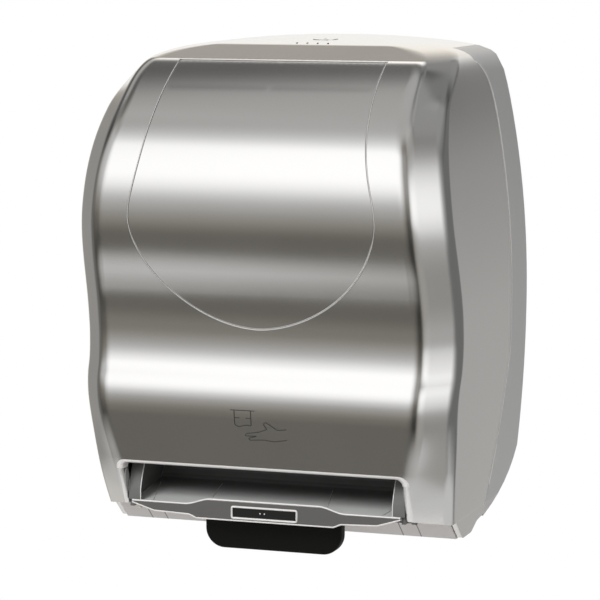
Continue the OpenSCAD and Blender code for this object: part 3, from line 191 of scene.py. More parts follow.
class CaseForm:
    """Outer form of the case. A point on it has u, the way round its section from the middle of the front,
    and v, the way up the front and back over the top."""

    def __init__(self, sizes):
        self.s = s = sizes
        self.part_top = s.brow_z - PART_DROP
        crown_z = s.brow_z + (s.height - s.brow_z) * CROWN_SHARE
        end_z = s.height - RIDGE_DROP
        end_d = s.crown_d + (RIDGE_D - s.crown_d) * (end_z - crown_z) / (s.height - crown_z)
        corners = [(s.brow_z, s.brow_d), (crown_z, s.crown_d), (end_z, end_d)]
        z = [np.arange(FORM_LOW, s.brow_z, FORM_STEP)]
        d = [self.front_depth(z[0])]
        for (z0, d0), (z1, d1) in zip(corners, corners[1:]):
            n = int(math.hypot(z1 - z0, d1 - d0) / FORM_STEP)
            z.append(np.linspace(z0, z1, n, endpoint=False))
            d.append(np.linspace(d0, d1, n, endpoint=False))
        z, d = np.concatenate(z + [[end_z]]), np.concatenate(d + [[end_d]])
        creased = (z > s.brow_z - 0.02) & (np.arange(len(z)) < len(z) - 2 * CREASE)
        self.z = np.where(creased, blurred(z, CREASE), z)
        self.d = np.where(creased, blurred(d, CREASE), d)
        self.v = FORM_LOW + FORM_STEP * np.arange(len(z))
        self.v_end = self.v[-1]

    def half_width(self, z):
        s = self.s
        dz = z - s.wide_z
        r = np.where(dz > 0, s.bow_top_r, s.bow_low_r)
        side = s.width / 2 - (r - np.sqrt(r * r - dz * dz))
        drop = np.maximum(0.00002, s.height - z)
        arch = np.sqrt(drop * (2 * s.top_arch_r - drop))
        return (side**-6 + arch**-6) ** (-1 / 6)

    def front_depth(self, z):
        s = self.s

        def bulge(at):
            return hermite(at, s.waist_z, s.waist_d, 0, s.bulge_z, s.bulge_d, 0)

        fine = np.linspace(FORM_LOW, FIT_Z, 800)
        slope = blurred(np.interp(fine, *np.array(FRONT_SLOPES).T), 5)
        gain = np.concatenate([[0], np.cumsum((slope[1:] + slope[:-1]) / 2 * np.diff(fine))])
        fitted = bulge(FIT_Z) - gain[-1] + np.interp(z, fine, gain)
        return np.select([z < FIT_Z, z < s.bulge_z], [fitted, bulge(z)],
                         hermite(z, s.bulge_z, s.bulge_d, 0, s.brow_z, s.brow_d, BROW_SLOPE))

    def part_depth(self, z):
        lean_top = np.maximum(0, (z - PART_LEAN_FROM) / (self.part_top - PART_LEAN_FROM)) ** 16
        lean_low = np.maximum(0, (PART_FOOT_FROM - z) / (PART_FOOT_FROM - self.s.foot_z))
        return PART_D + PART_LEAN * lean_top + PART_FOOT * lean_low

    def at(self, u, v):
        """Bench point of (u, v)."""
        s = self.s
        u, v = np.broadcast_arrays(np.asarray(u, float), np.asarray(v, float))
        z = np.interp(v, self.v, self.z)
        d = np.interp(v, self.v, self.d)
        w = self.half_width(z)
        cw = s.chamfer_w + LEG_WIDER * smooth((0.1 - z) / 0.06)
        cw = np.minimum(cw - BROW_NARROWER * smooth((z - s.brow_z) / 0.04 + 1), 0.6 * w)
        cd = np.minimum(s.chamfer_d + s.brow_cut * smooth((z - s.brow_z) / 0.035 + 1), 0.5 * d)
        run = np.hypot(cw, cd)
        f = np.minimum(s.inner_round, 0.45 * run)
        g = np.minimum(np.minimum(s.outer_round, 0.45 * run), 0.45 * (d - cd))
        k = [np.clip((u - STOPS[i]) / SPANS[i], 0, 1) for i in range(5)]
        inner_x, outer_y = w - cw, cd - d
        p_x, p_y = inner_x + f * cw / run, -d + f * cd / run
        q_x, q_y = w - g * cw / run, outer_y - g * cd / run

        def bend(t, a, b, c):
            return a * (1 - t) ** 2 + 2 * b * t * (1 - t) + c * t * t

        k[0] = u / SPANS[0]
        where = [u <= STOPS[1], u <= STOPS[2], u <= STOPS[3], u <= STOPS[4]]
        x = np.select(where, [(inner_x - f) * k[0], bend(k[1], inner_x - f, inner_x, p_x),
                              p_x + (q_x - p_x) * k[2], bend(k[3], q_x, w, w)], w)
        y = np.select(where, [-d, bend(k[1], -d, -d, p_y), p_y + (q_y - p_y) * k[2],
                              bend(k[3], q_y, outer_y, outer_y + g)],
                      outer_y + g + (-TONGUE_BACK - outer_y - g) * k[4])
        return np.stack([x, y, z], -1)

    def normal(self, u, v):
        """Outward direction at (u, v)."""
        h = 2e-5
        across = self.at(u + h, v) - self.at(u - h, v)
        upward = self.at(u, v + h) - self.at(u, v - h)
        return unit(np.cross(across, upward))

    def on_front(self, lines, proud):
        """Bench points of lines in (x, z) drawn on the front, standing proud of it."""
        made = []
        for line in lines:
            x, z = np.asarray(line, float).T
            u = self.u_where(0, np.abs(x), z)
            side = np.where(x < 0, -1.0, 1.0)[:, None] * [1, 0, 0] + [0, 1, 1]
            made.append((self.at(u, z) + self.normal(u, z) * proud) * side)
        return made

    def u_where(self, axis, value, v):
        """The u at which a section reaches a given x (axis 0) or y (axis 1)."""
        ways = np.linspace(0, STOPS[-1], 1800)
        value, v = np.broadcast_arrays(np.asarray(value, float), np.asarray(v, float))
        reach = self.at(ways[None, :], v.ravel()[:, None])[:, :, axis]
        found = [np.interp(a, line, ways) for a, line in zip(value.ravel(), reach)]
        return np.array(found).reshape(v.shape)

    def line_at(self, axis, value, v):
        """(u, v) of the places at v that reach a given x or y."""
        return np.stack([self.u_where(axis, value, v), v], -1)

    def v_at_depth(self, d):
        top = self.v > self.s.brow_z
        return np.interp(-np.asarray(d, float), -self.d[top], self.v[top])

    def leg_edge(self, u):
        """v of the leg's lower edge at u: level at the side, rising towards the front."""
        v = np.full(np.shape(u), self.s.foot_z)
        for _ in range(12):
            depth = -self.at(u, v)[..., 1]
            v = self.s.foot_z + LEG_SLOPE * np.maximum(0, depth - LEG_FROM_D)
        return v

    def slot_edge(self, inset):
        """Right half of the slot's edge as (x, z), from its middle to the foot of the leg."""
        s = self.s
        r = s.slot_round + s.lip_round - inset
        half, top = s.slot_half + LEG_ROLL * (s.lip_round - inset), s.slot_top + s.lip_round - inset
        turn = np.radians(np.linspace(90, 0, 9))
        foot = float(self.leg_edge(self.u_where(0, half, 0.023)))
        across = np.linspace(0, half - r, 40, endpoint=False)
        down = np.linspace(top - r, foot, 16)[1:]
        x = np.concatenate([across, half - r + r * np.cos(turn), np.full(len(down), half)])
        z = np.concatenate([np.full(len(across), top), top - r + r * np.sin(turn), down])
        return x, z

    def window_edge(self, grow):
        """Right half of the window's outline as (x, z), from the brow down to its lowest point."""
        wide_z, over_z = self.s.height - WINDOW_WIDE_DROP, self.s.height + 0.01
        wide, top = WINDOW_HALF + grow, WINDOW_TOP_HALF + grow
        t = np.linspace(0, 1, 90)[:, None]
        a, b, c, d = [np.array(p) for p in
                      ((top, over_z), (top, wide_z + 0.038), (wide, wide_z + 0.022), (wide, wide_z))]
        upper = a * (1 - t) ** 3 + 3 * b * t * (1 - t) ** 2 + 3 * c * t ** 2 * (1 - t) + d * t ** 3
        upper = upper[upper[:, 1] < self.s.brow_z - 0.0012]
        turn = np.linspace(0, math.pi / 2, 160)[1:]
        fall = wide_z - WINDOW_LOW_Z + grow
        lower = np.stack([wide * np.cos(turn) ** WINDOW_BEND, wide_z - fall * np.sin(turn) ** WINDOW_BEND], -1)
        top_z = self.s.brow_z + 0.0004 + grow
        start = np.array([[np.interp(top_z, upper[::-1, 1], upper[::-1, 0]), top_z]])
        edge = np.concatenate([start, upper, lower])
        edge[-1, 0] = 0.0
        return edge[:, 0], edge[:, 1]


def case_form():
    return CaseForm(bpy.context.scene.dispenser_case)


def spaced(points, step):
    """A polyline resampled at an even step, ends kept."""
    points = np.asarray(points, float)
    way = np.concatenate([[0], np.cumsum(np.linalg.norm(np.diff(points, axis=0), axis=1))])
    at = np.linspace(0, way[-1], max(2, int(round(way[-1] / step)) + 1))
    return np.stack([np.interp(at, way, points[:, i]) for i in range(points.shape[1])], -1)


def inside(points, ring):
    """Which points lie inside a closed ring."""
    x, y = points[:, 0][:, None], points[:, 1][:, None]
    ax, ay = ring[:, 0][None], ring[:, 1][None]
    bx, by = np.roll(ax, -1, 1), np.roll(ay, -1, 1)
    rise = np.where(by == ay, 1e-12, by - ay)
    hits = ((ay > y) != (by > y)) & (x < (bx - ax) * (y - ay) / rise + ax)
    return hits.sum(1) % 2 == 1


def skin_triangles(ring, grid, clear):
    """Triangles of the skin inside a ring, with the ring's points first and the clear points of a grid after."""
    grid = grid[inside(grid, ring)]
    gap = np.full(len(grid), np.inf)
    for a, b in zip(ring, np.roll(ring, -1, 0)):
        along = b - a
        t = np.clip(((grid - a) @ along) / max(along @ along, 1e-18), 0, 1)
        gap = np.minimum(gap, np.linalg.norm(grid - a - t[:, None] * along, axis=1))
    points = np.concatenate([ring, grid[gap > clear]])
    n = len(ring)
    edges = [(i, (i + 1) % n) for i in range(n)]
    made = geometry.delaunay_2d_cdt([Vector(p) for p in points], edges, [], 0, 1e-9)
    origin = {i: k for k, sources in enumerate(made[3]) for i in sources}
    places = np.array([tuple(p) for p in made[0]])
    faces = np.array(made[2])
    faces = faces[inside(places[faces].mean(1), ring)]
    return places, faces, [origin[i] for i in range(n)]


def linked(name, data):
    """A new object in the scene."""
    piece = bpy.data.objects.new(name, data)
    bpy.context.scene.collection.objects.link(piece)
    return piece


def new_piece(name, points, faces, material, normals=None):
    """A mesh object at the origin from bench points."""
    mesh = bpy.data.meshes.new(name)
    mesh.from_pydata([tuple(p) for p in row(points)], [], [tuple(int(i) for i in f) for f in faces])
    mesh.shade_smooth()
    if normals is not None:
        mesh.normals_split_custom_set_from_vertices([tuple(n) for n in normals])
    mesh.materials.append(material)
    return linked(name, mesh)


def mirrored(points, normals, faces):
    """A right half joined to its mirror image along the points at x = 0."""
    flip = np.array([-1.0, 1.0, 1.0])
    off = np.abs(points[:, 0]) > 1e-9
    twin = np.where(off, len(points) + np.cumsum(off) - 1, np.arange(len(points)))
    both = np.concatenate([points, points[off] * flip])
    turned = np.concatenate([np.where(off[:, None], normals, normals * [0.0, 1.0, 1.0]), normals[off] * flip])
    return both, turned, list(faces) + [[twin[i] for i in reversed(f)] for f in faces]


def shell_of(points, normals, faces, wall, edge):
    """A skin made into a closed shell: a wall to the inside, and a rim whose outer edge is rounded."""
    normals = unit(normals)
    sides = {pair: True for f in faces for pair in zip(f, [*f[1:], f[0]])}
    rim = [(a, b) for a, b in sides if (b, a) not in sides]
    away = np.zeros_like(points)
    for a, b in rim:
        out = unit(np.cross(points[b] - points[a], normals[a] + normals[b]))
        away[a] += out
        away[b] += out
    ends = sorted({i for pair in rim for i in pair})
    away[ends] = unit(away[ends])
    inner = points - normals * wall + away * edge
    n, m = len(points), len(ends)
    spot = {i: k for k, i in enumerate(ends)}
    all_points, all_normals = [points, inner], [normals, -normals]
    turns = np.radians([30, 60, 90])
    for t in turns:
        all_points.append(points[ends] + away[ends] * edge * math.sin(t) - normals[ends] * edge * (1 - math.cos(t)))
        all_normals.append(normals[ends] * math.cos(t) + away[ends] * math.sin(t))
    all_points.append(inner[ends])
    all_normals.append(away[ends])
    made = [list(f) for f in faces] + [[n + i for i in reversed(list(f))] for f in faces]
    for a, b in rim:
        chain = [(a, b)] + [(2 * n + k * m + spot[a], 2 * n + k * m + spot[b]) for k in range(len(turns) + 1)]
        made += [[q, p, p2, q2] for (p, q), (p2, q2) in zip(chain, chain[1:])]
    return np.concatenate(all_points), made, np.concatenate(all_normals)


def settle(piece):
    """Turns a piece's live modifiers into its mesh."""
    depsgraph = bpy.context.evaluated_depsgraph_get()
    made = bpy.data.meshes.new_from_object(piece.evaluated_get(depsgraph), depsgraph=depsgraph)
    piece.modifiers.clear()
    old, piece.data = piece.data, made
    bpy.data.meshes.remove(old)
    made.name = piece.name
    return piece


def reshaped(mesh, change):
    """Changes a mesh through bmesh."""
    shape = bmesh.new()
    shape.from_mesh(mesh)
    change(shape)
    shape.to_mesh(mesh)
    shape.free()


def face_outward(shape):
    bmesh.ops.recalc_face_normals(shape, faces=shape.faces)


def join_close(shape):
    bmesh.ops.remove_doubles(shape, verts=shape.verts, dist=1e-6)


def smooth_faces(mesh, sharp):
    """Smooth shading with edges sharper than an angle left crisp."""
    mesh.shade_smooth()
    mesh.set_sharp_from_angle(angle=math.radians(sharp))


def places_of(mesh):
    co = np.zeros(len(mesh.vertices) * 3)
    mesh.vertices.foreach_get("co", co)
    return co.reshape(-1, 3)


# Spacing of the skins' points: across the front, up it, around the brow, along a coarse and along a fine edge
ACROSS, UP, UP_BROW = 0.005, 0.0032, 0.0011
COARSE, FINE = 0.003, 0.0016


def skin_on(form, ring, us, vs):
    """Points, directions and faces of the skin inside a ring in (u, v), and the numbers of the ring's points."""
    u, v = np.meshgrid(us, vs)
    places, faces, edge = skin_triangles(ring, np.stack([u.ravel(), v.ravel()], -1), UP_BROW)
    points = form.at(places[:, 0], places[:, 1])
    points[np.abs(places[:, 0]) < 1e-9, 0] = 0.0
    return points, form.normal(places[:, 0], places[:, 1]), [[int(i) for i in f] for f in faces], edge


def cover_skin(form):
    """Right half of the cover's skin with its rolled slot lip."""
    s = form.s
    slot = form.line_at(0, *form.slot_edge(0.0))
    foot_u = np.linspace(slot[-1, 0], form.u_where(1, -form.part_depth(s.foot_z) - EDGE, s.foot_z), 90)[1:]
    foot = spaced(np.stack([foot_u, form.leg_edge(foot_u)], -1), 0.0025)
    part_z = np.linspace(s.foot_z, form.part_top, 130)[1:]
    part = form.line_at(1, -form.part_depth(part_z) - EDGE, part_z)
    heights = np.linspace(s.brow_z, s.height - 0.001, 400)
    tongue_z = np.interp(-TONGUE_HALF, -form.half_width(heights), heights)
    tongue_v = float(np.interp(tongue_z, form.z, form.v))
    shoulder_v = np.linspace(form.part_top, tongue_v, 14)[1:]
    shoulder = form.line_at(1, -form.part_depth(form.part_top) - EDGE, shoulder_v)
    notch = spaced([shoulder[-1], (STOPS[-1], tongue_v)], COARSE)[1:]
    rear = spaced([(STOPS[-1], tongue_v), (STOPS[-1], form.v_end)], COARSE)[1:]
    ridge = spaced([(STOPS[-1], form.v_end), (0.0, form.v_end)], 2 * COARSE)[1:]
    turn = np.linspace(0, math.pi, 17)
    hole = form.line_at(0, LOCK_R * np.sin(turn), form.v_at_depth(LOCK_D - LOCK_R * np.cos(turn)))
    hole[[0, -1], 0] = 0.0
    window = form.line_at(0, *form.window_edge(s.window_gap + EDGE))
    window[-1, 0] = 0.0
    middle = (0.0, window[0, 1])
    window = np.concatenate([[middle], spaced([middle, window[0]], COARSE)[1:-1], spaced(window, FINE)])
    down = spaced([ridge[-1], hole[0]], COARSE)[1:-1]
    brow = spaced([hole[-1], window[0]], COARSE)[1:-1]
    chin = spaced([window[-1], slot[0]], COARSE)[1:-1]
    before_ridge = [slot, foot, part, shoulder, notch, rear]
    ring = np.concatenate([*before_ridge, ridge, down, hole, brow, window, chin])
    us = np.concatenate([np.arange(0.004, STOPS[1], ACROSS), np.linspace(STOPS[1], STOPS[2], 12)[:-1],
                         np.linspace(STOPS[2], STOPS[3], 5)[:-1], np.linspace(STOPS[3], STOPS[4], 12),
                         np.arange(STOPS[4] + ACROSS, STOPS[5], 0.006)])
    vs = np.concatenate([np.arange(0.018, s.brow_z - 0.012, UP), np.arange(s.brow_z - 0.011, s.brow_z + 0.01, UP_BROW),
                         np.arange(s.brow_z + 0.012, form.v_end, COARSE)])
    points, normals, faces, edge = skin_on(form, ring, us, vs)
    # Flat patch that closes the ridge
    start = sum(len(line) for line in before_ridge) - 1
    last = edge[start:start + len(ridge) + 1]
    points = np.concatenate([points, [(0.0, -TONGUE_BACK, points[last[0], 2])]])
    normals = np.concatenate([normals, [(0.0, 0.0, 1.0)]])
    faces += [[len(points) - 1, b, a] for a, b in zip(last[:-1], last[1:])]
    # Rolled lip: rings that turn in around the slot's edge
    lip_from = len(faces)
    ring_now = edge[:len(slot)]
    turns = list(np.radians(np.linspace(0, 90, 7))[1:])
    steps = [(s.lip_round * math.sin(t), s.lip_round * (1 - math.cos(t))) for t in turns]
    steps += [(s.lip_round, s.lip_in * 0.6), (s.lip_round, s.lip_in)]
    for inset, back in steps:
        x, z = form.slot_edge(inset)
        u = form.u_where(0, x, z)
        ring_points = form.at(u, z) + np.array([0.0, back, 0.0])
        ring_points[0, 0] = 0.0
        along = np.gradient(ring_points, axis=0)
        facing = form.normal(u, z)
        into = unit(np.cross(facing, along)) * -1
        turn = min(1.0, inset / s.lip_round)
        ring_next = list(range(len(points), len(points) + len(ring_points)))
        points = np.concatenate([points, ring_points])
        normals = np.concatenate([normals, facing * math.sqrt(1 - turn * turn) + into * turn])
        faces += [[a, b, c, d] for a, b, c, d in zip(ring_now, ring_next, ring_next[1:], ring_now[1:])]
        ring_now = ring_next
    return *mirrored(points, normals, faces), lip_from


def window_skin(form):
    """The window panel's skin, flush with the cover."""
    brow_z = form.s.brow_z
    edge = form.line_at(0, *form.window_edge(-form.s.window_gap - WINDOW_EDGE))
    edge[-1, 0] = 0.0
    middle = (0.0, edge[0, 1])
    edge = spaced(edge, FINE)
    ring = np.concatenate([spaced([middle, edge[0]], COARSE)[:-1], edge, spaced([edge[-1], middle], COARSE)[1:-1]])
    vs = np.concatenate([np.arange(0.164, brow_z - 0.012, UP), np.arange(brow_z - 0.011, brow_z, UP_BROW)])
    points, normals, faces, _ = skin_on(form, ring, np.arange(0.004, STOPS[1], ACROSS), vs)
    return *mirrored(points, normals, faces), len(faces)


def eased(points, reach, closed=True):
    """A polyline whose corners are bent over a given reach."""
    points = np.asarray(points, float)
    t = np.linspace(0, 1, 6)[:, None]
    made = []
    for i, corner in enumerate(points):
        if not closed and i in (0, len(points) - 1):
            made.append(corner)
            continue
        before, after = points[i - 1] - corner, points[(i + 1) % len(points)] - corner
        r = min(reach, 0.45 * np.linalg.norm(before), 0.45 * np.linalg.norm(after))
        made += list((corner + unit(before) * r) * (1 - t) ** 2 + 2 * corner * t * (1 - t)
                     + (corner + unit(after) * r) * t * t)
    return np.array(made)


def circle(centre, r, count=40):
    turn = np.linspace(0, 2 * math.pi, count, endpoint=False)
    return np.asarray(centre) + r * np.stack([np.cos(turn), np.sin(turn)], -1)


def finished(shape, name, material, sharp=40):
    """A closed bmesh made into a piece with outward faces."""
    face_outward(shape)
    if any(len(edge.link_faces) != 2 for edge in shape.edges):
        raise RuntimeError(name + " is not closed")
    mesh = bpy.data.meshes.new(name)
    shape.to_mesh(mesh)
    shape.free()
    mesh.materials.append(material)
    smooth_faces(mesh, sharp)
    return linked(name, mesh)


def pushed(shape, faces, by):
    """Faces drawn out by a way. Returns what is new."""
    grown = bmesh.ops.extrude_face_region(shape, geom=faces)["geom"]
    bmesh.ops.translate(shape, vec=by, verts=[v for v in grown if isinstance(v, bmesh.types.BMVert)])
    return grown


def soften(shape, edges, reach, segments):
    bmesh.ops.bevel(shape, geom=list(edges), offset=reach, segments=segments, profile=0.5, affect="EDGES",
                    clamp_overlap=True)


def plate(name, loops, x_from, x_to, material, reach=0.0004):
    """A flat plate across x: the first loop in (y, z) is its outline, the others are holes."""
    shape = bmesh.new()
    edges = []
    for loop in loops:
        verts = [shape.verts.new((x_from, y, z - SCREW_Z)) for y, z in loop]
        edges += [shape.edges.new(pair) for pair in zip(verts, verts[1:] + verts[:1])]
    bmesh.ops.triangle_fill(shape, use_beauty=True, edges=edges)
    pushed(shape, shape.faces[:], (x_to - x_from, 0.0, 0.0))
    face_outward(shape)
    soften(shape, [e for e in shape.edges if abs(e.verts[0].co.x - e.verts[1].co.x) < 1e-9
                   and e.calc_face_angle(0.0) > 1.0], reach, 2)
    return finished(shape, name, material, 20)


def hinge_ear(form, side, name, material):
    """Plate at the cover's lower corner that turns on the hinge pin."""
    foot_z = form.s.foot_z
    back, low = -float(form.part_depth(foot_z)), HINGE_Z - EAR_R
    outer_x = float(form.half_width(foot_z))
    outline = [(back, foot_z + 0.004), (back, 0.0085), (-HINGE_D + 0.016, 0.0065), (-HINGE_D, low),
               (-EAR_TOE_D, low), (-EAR_FRONT_D, foot_z), (-EAR_FRONT_D, foot_z + 0.004)]
    outline = eased(outline, 0.003)
    ear = plate(name, [outline, circle((-HINGE_D, HINGE_Z), PIN_R)],
                side * (outer_x - EAR_INSET - EAR_T - 0.0002), side * (outer_x - EAR_INSET + 0.0001), material)
    skin = plate(name + "_skin", [outline], side * (outer_x - EAR_INSET + 0.00015), side * (outer_x - 0.0001),
                 material, 0.0003)
    bow_normals(skin, form, 0.0026)
    return [ear, skin]


def operation(kind, reverse=False):
    """A method that joins a socket and another value by a Math node."""
    def join(sock, other=0.0):
        a, b = (other, sock) if reverse else (sock, other)
        return sock.tree.add("ShaderNodeMath", {0: a, 1: b}, operation=kind)
    return join


class Sock:
    """A node socket that takes part in Python expressions."""

    def __init__(self, tree, socket):
        self.tree, self.socket = tree, socket

    __add__ = __radd__ = operation("ADD")
    __sub__, __rsub__ = operation("SUBTRACT"), operation("SUBTRACT", reverse=True)
    __mul__ = __rmul__ = operation("MULTIPLY")
    __truediv__ = operation("DIVIDE")
    most, size, root = operation("MAXIMUM"), operation("ABSOLUTE"), operation("SQRT")
    angle_over, fold = operation("ARCTAN2"), operation("PINGPONG")

    def __neg__(self):
        return self * -1.0

    def step(self, low, high):
        """Rises smoothly from 0 at low to 1 at high."""
        return self.tree.add("ShaderNodeMapRange", {"Value": self, "From Min": low, "From Max": high},
                             interpolation_type="SMOOTHSTEP")


class Tree:
    """A node tree whose nodes are added by one method."""

    def __init__(self, tree):
        self.nodes, self.links = tree.nodes, tree.links
        self.nodes.clear()

    def add(self, kind, sockets=None, out=0, stops=(), **settings):
        """A new node with values or links for its sockets, and the stops of a colour ramp."""
        node = self.nodes.new(kind)
        for key, value in settings.items():
            setattr(node, key, value)
        if stops:
            elements = node.color_ramp.elements
            while len(elements) < len(stops):
                elements.new(1.0)
            for element, (place, grey) in zip(elements, stops):
                element.position, element.color = place, (grey, grey, grey, 1.0)
        for key, value in (sockets or {}).items():
            if isinstance(value, Sock):
                self.links.new(value.socket, node.inputs[key])
            else:
                node.inputs[key].default_value = value
        return Sock(self, node.outputs[out]) if node.outputs else node

    def mix(self, factor, a, b):
        a, b = [c if isinstance(c, Sock) else (*c, 1.0) for c in (a, b)]
        return self.add("ShaderNodeMix", {0: factor, 6: a, 7: b}, 2, data_type="RGBA")

    def noise(self, where, scale, detail=2.0, rough=0.5, stretch=None):
        if stretch:
            where = self.add("ShaderNodeMapping", {"Vector": where, "Scale": stretch})
        return self.add("ShaderNodeTexNoise", {"Vector": where, "Scale": scale, "Detail": detail, "Roughness": rough})


def modelled(name, inputs, build, base=None):
    """A piece made by a Geometry Nodes tree. inputs are (name, socket kind, value), build wires the tree."""
    group = bpy.data.node_groups.new(name, "GeometryNodeTree")
    for label, kind, _ in [("Path", "NodeSocketGeometry", None), *inputs]:
        group.interface.new_socket(label, in_out="INPUT", socket_type=kind)
    group.interface.new_socket("Geometry", in_out="OUTPUT", socket_type="NodeSocketGeometry")
    tree = Tree(group)
    given = tree.nodes.new("NodeGroupInput")
    take = {socket.name: Sock(tree, socket) for socket in given.outputs if socket.name}
    whole = tree.add("GeometryNodeRealizeInstances", {"Geometry": build(tree, take)})
    painted = tree.add("GeometryNodeSetMaterial", {"Geometry": whole, "Material": take["Finish"]})
    tree.add("NodeGroupOutput", {"Geometry": painted})
    piece = linked(name, base or bpy.data.meshes.new(name))
    made = piece.modifiers.new(name, "NODES")
    made.node_group = group
    sockets = {item.name: item.identifier for item in group.interface.items_tree if item.in_out == "INPUT"}
    for label, _, value in inputs:
        made[sockets[label]] = value
    bpy.context.view_layer.update()
    settle(piece)
    if not piece.data.polygons:
        raise RuntimeError(name + " made no faces")
    reshaped(piece.data, face_outward)
    smooth_faces(piece.data, 50)
    return piece


def bead(name, paths, radius, finish, closed=False, sides=8):
    """A round bead that runs along paths of bench points."""
    points, edges = [], []
    for line in paths:
        first, count = len(points), len(line)
        points += [tuple(p) for p in row(line)]
        edges += [(first + i, first + (i + 1) % count) for i in range(count if closed else count - 1)]
    base = bpy.data.meshes.new(name)
    base.from_pydata(points, edges, [])

    def build(tree, take):
        way = tree.add("GeometryNodeMeshToCurve", {"Mesh": take["Path"]})
        ring = tree.add("GeometryNodeCurvePrimitiveCircle", {"Resolution": take["Sides"], "Radius": take["Radius"]})
        return tree.add("GeometryNodeCurveToMesh", {"Curve": way, "Profile Curve": ring, "Fill Caps": True})

    return modelled(name, [("Radius", "NodeSocketFloat", radius), ("Sides", "NodeSocketInt", sides),
                           ("Finish", "NodeSocketMaterial", finish)], build, base)


def surface(name, build):
    """A material whose Principled sockets come from build(tree, place), as constants or sockets."""
    material = bpy.data.materials.new(name)
    material.use_nodes = True
    tree = Tree(material.node_tree)
    sockets = build(tree, tree.add("ShaderNodeTexCoord", out="Object"))
    bump, edge = sockets.pop("bump", None), sockets.pop("edge", 0.0)
    if edge:
        sockets["Normal"] = tree.add("ShaderNodeBevel", {"Radius": edge}, samples=4)
    if bump:
        links = dict(zip(("Height", "Strength", "Distance"), bump))
        if edge:
            links["Normal"] = sockets["Normal"]
        sockets["Normal"] = tree.add("ShaderNodeBump", links)
    shader = tree.add("ShaderNodeBsdfPrincipled", sockets)
    tree.add("ShaderNodeOutputMaterial", {"Surface": shader})
    return material


def colour_of(name):
    return tuple(getattr(bpy.context.scene.dispenser_colours, name))


def shade(colour, share):
    return tuple(min(1.0, c * share) for c in colour)


def split(tree, place):
    parts = tree.add("ShaderNodeSeparateXYZ", {0: place}).socket.node
    return [Sock(tree, out) for out in parts.outputs]


def clouded(tree, place, scale, colour, low, high):
    """A fine speck, its tone with broad clouds, and a colour that varies with the tone."""
    speck = tree.noise(place, scale)
    tone = speck * 0.4 + tree.noise(place, 22.0, 3.0) * 0.6
    return speck, tone, tree.mix(tone, shade(colour, low), shade(colour, high))


def satin_shell(tree, place):
    """Satin metal film: faint cloudiness and a fine level grain."""
    colour = colour_of("shell")
    cloud = tree.noise(place, 14.0, 3.0)
    grain = tree.noise(place, 1.0, 3.0, 0.6, (260.0, 900.0, 2600.0))
    tone = cloud * 0.5 + grain * 0.5
    return {
        "Base Color": tree.mix(tone, shade(colour, 0.97), shade(colour, 1.03)),
        "Metallic": 1.0,
        "Roughness": 0.11 + cloud * 0.04 + grain * 0.04,
        "Specular Tint": (1.0, 0.988, 0.96, 1.0),
        "bump": (grain, 0.015, 0.0004),
    }


# Moulding seams of the base band, across x
BAND_SEAMS = (-0.1126, -0.0999, 0.0925, 0.1067)


def painted_housing(tree, place):
    """Silver paint on plastic: fine grain, a paler base band and its moulding seams."""
    colour = colour_of("housing")
    x, _, z = split(tree, place)
    grain = tree.noise(place, 2200.0)
    cloud = tree.noise(place, 9.0, 3.0)
    low = z.step(-0.2185, -0.2195)
    seam = sum((x - at).size().step(0.0007, 0.0002) for at in BAND_SEAMS) * low
    base = tree.mix(cloud * 0.6 + grain * 0.4, shade(colour, 0.95), shade(colour, 1.04))
    base = tree.mix(low * 0.7, base, (0.76, 0.715, 0.71))
    return {
        "Base Color": tree.mix(seam, base, shade(colour, 0.35)),
        "Metallic": 0.55 - low * 0.35,
        "Roughness": 0.3 + grain * 0.1,
        "bump": (grain, 0.04, 0.0003),
        "edge": 0.0006,
    }


def rim_of(tree, reach):
    """How near a point is to a sharp edge, from 0 to 1."""
    rounded = tree.add("ShaderNodeBevel", {"Radius": reach}, samples=4)
    face = tree.add("ShaderNodeNewGeometry", out="Normal")
    level = tree.add("ShaderNodeVectorMath", {0: rounded, 1: face}, "Value", operation="DOT_PRODUCT")
    return (1 - level).step(0.01, 0.2)


def chute_grey(tree, place):
    """Grey chute with a fine grain: painted shade darkens it towards the back of the chute and on the lip's front face,
    and a painted highlight lightens it along its edges.
    """
    colour = colour_of("chute")
    _, y, _ = split(tree, place)
    speck, _, base = clouded(tree, place, 2600.0, colour, 0.92, 1.08)
    # painted shade: darker towards the back of the chute, where little light reaches
    deep = y.step(-0.19, -0.15)
    # painted shade: the chute lip's front face is coloured darker than the rest of the chute
    face = y.step(-0.2035, -0.2045)
    base = tree.mix(deep * 0.95, base, shade(colour, 0.2))
    base = tree.mix(face * 0.95, base, (0.1, 0.098, 0.094))
    return {
        # painted highlight: paler colour along the chute's sharp edges
        "Base Color": tree.mix(rim_of(tree, 0.0012), base, (0.86, 0.84, 0.82)),
        "Metallic": 0.2,
        "Roughness": 0.36 + speck * 0.1,
        "bump": (speck, 0.08, 0.0003),
        "edge": 0.0007,
    }


def moulded(colour, rough, metallic=0.0, grain_scale=2600.0, grain=0.08, edge=0.0005, coat=0.0, shine=0.5):
    """Moulded plastic with a fine grain, faint clouding and rounded edges. A colour may be named."""
    def build(tree, place):
        base = colour_of(colour) if isinstance(colour, str) else colour
        speck, tone, base = clouded(tree, place, grain_scale, base, 0.88, 1.12)
        return {
            "Base Color": base,
            "Metallic": metallic,
            "Roughness": rough - 0.05 + tone * 0.1,
            "Specular IOR Level": shine,
            "Coat Weight": coat,
            "bump": (speck, grain, 0.0003),
            "edge": edge,
        }
    return build


def turned_metal(colour, rough, along=(40.0, 2400.0, 2400.0)):
    """Turned or drawn metal with fine lines."""
    def build(tree, place):
        line = tree.noise(place, 1.0, 2.0, 0.6, along)
        stain = tree.noise(place, 60.0, 3.0)
        return {
            "Base Color": tree.mix(stain * 0.5 + line * 0.5, shade(colour, 0.86), shade(colour, 1.08)),
            "Metallic": 1.0,
            "Roughness": rough - 0.06 + line * 0.12,
            "bump": (line, 0.04, 0.0002),
            "edge": 0.0003,
        }
    return build


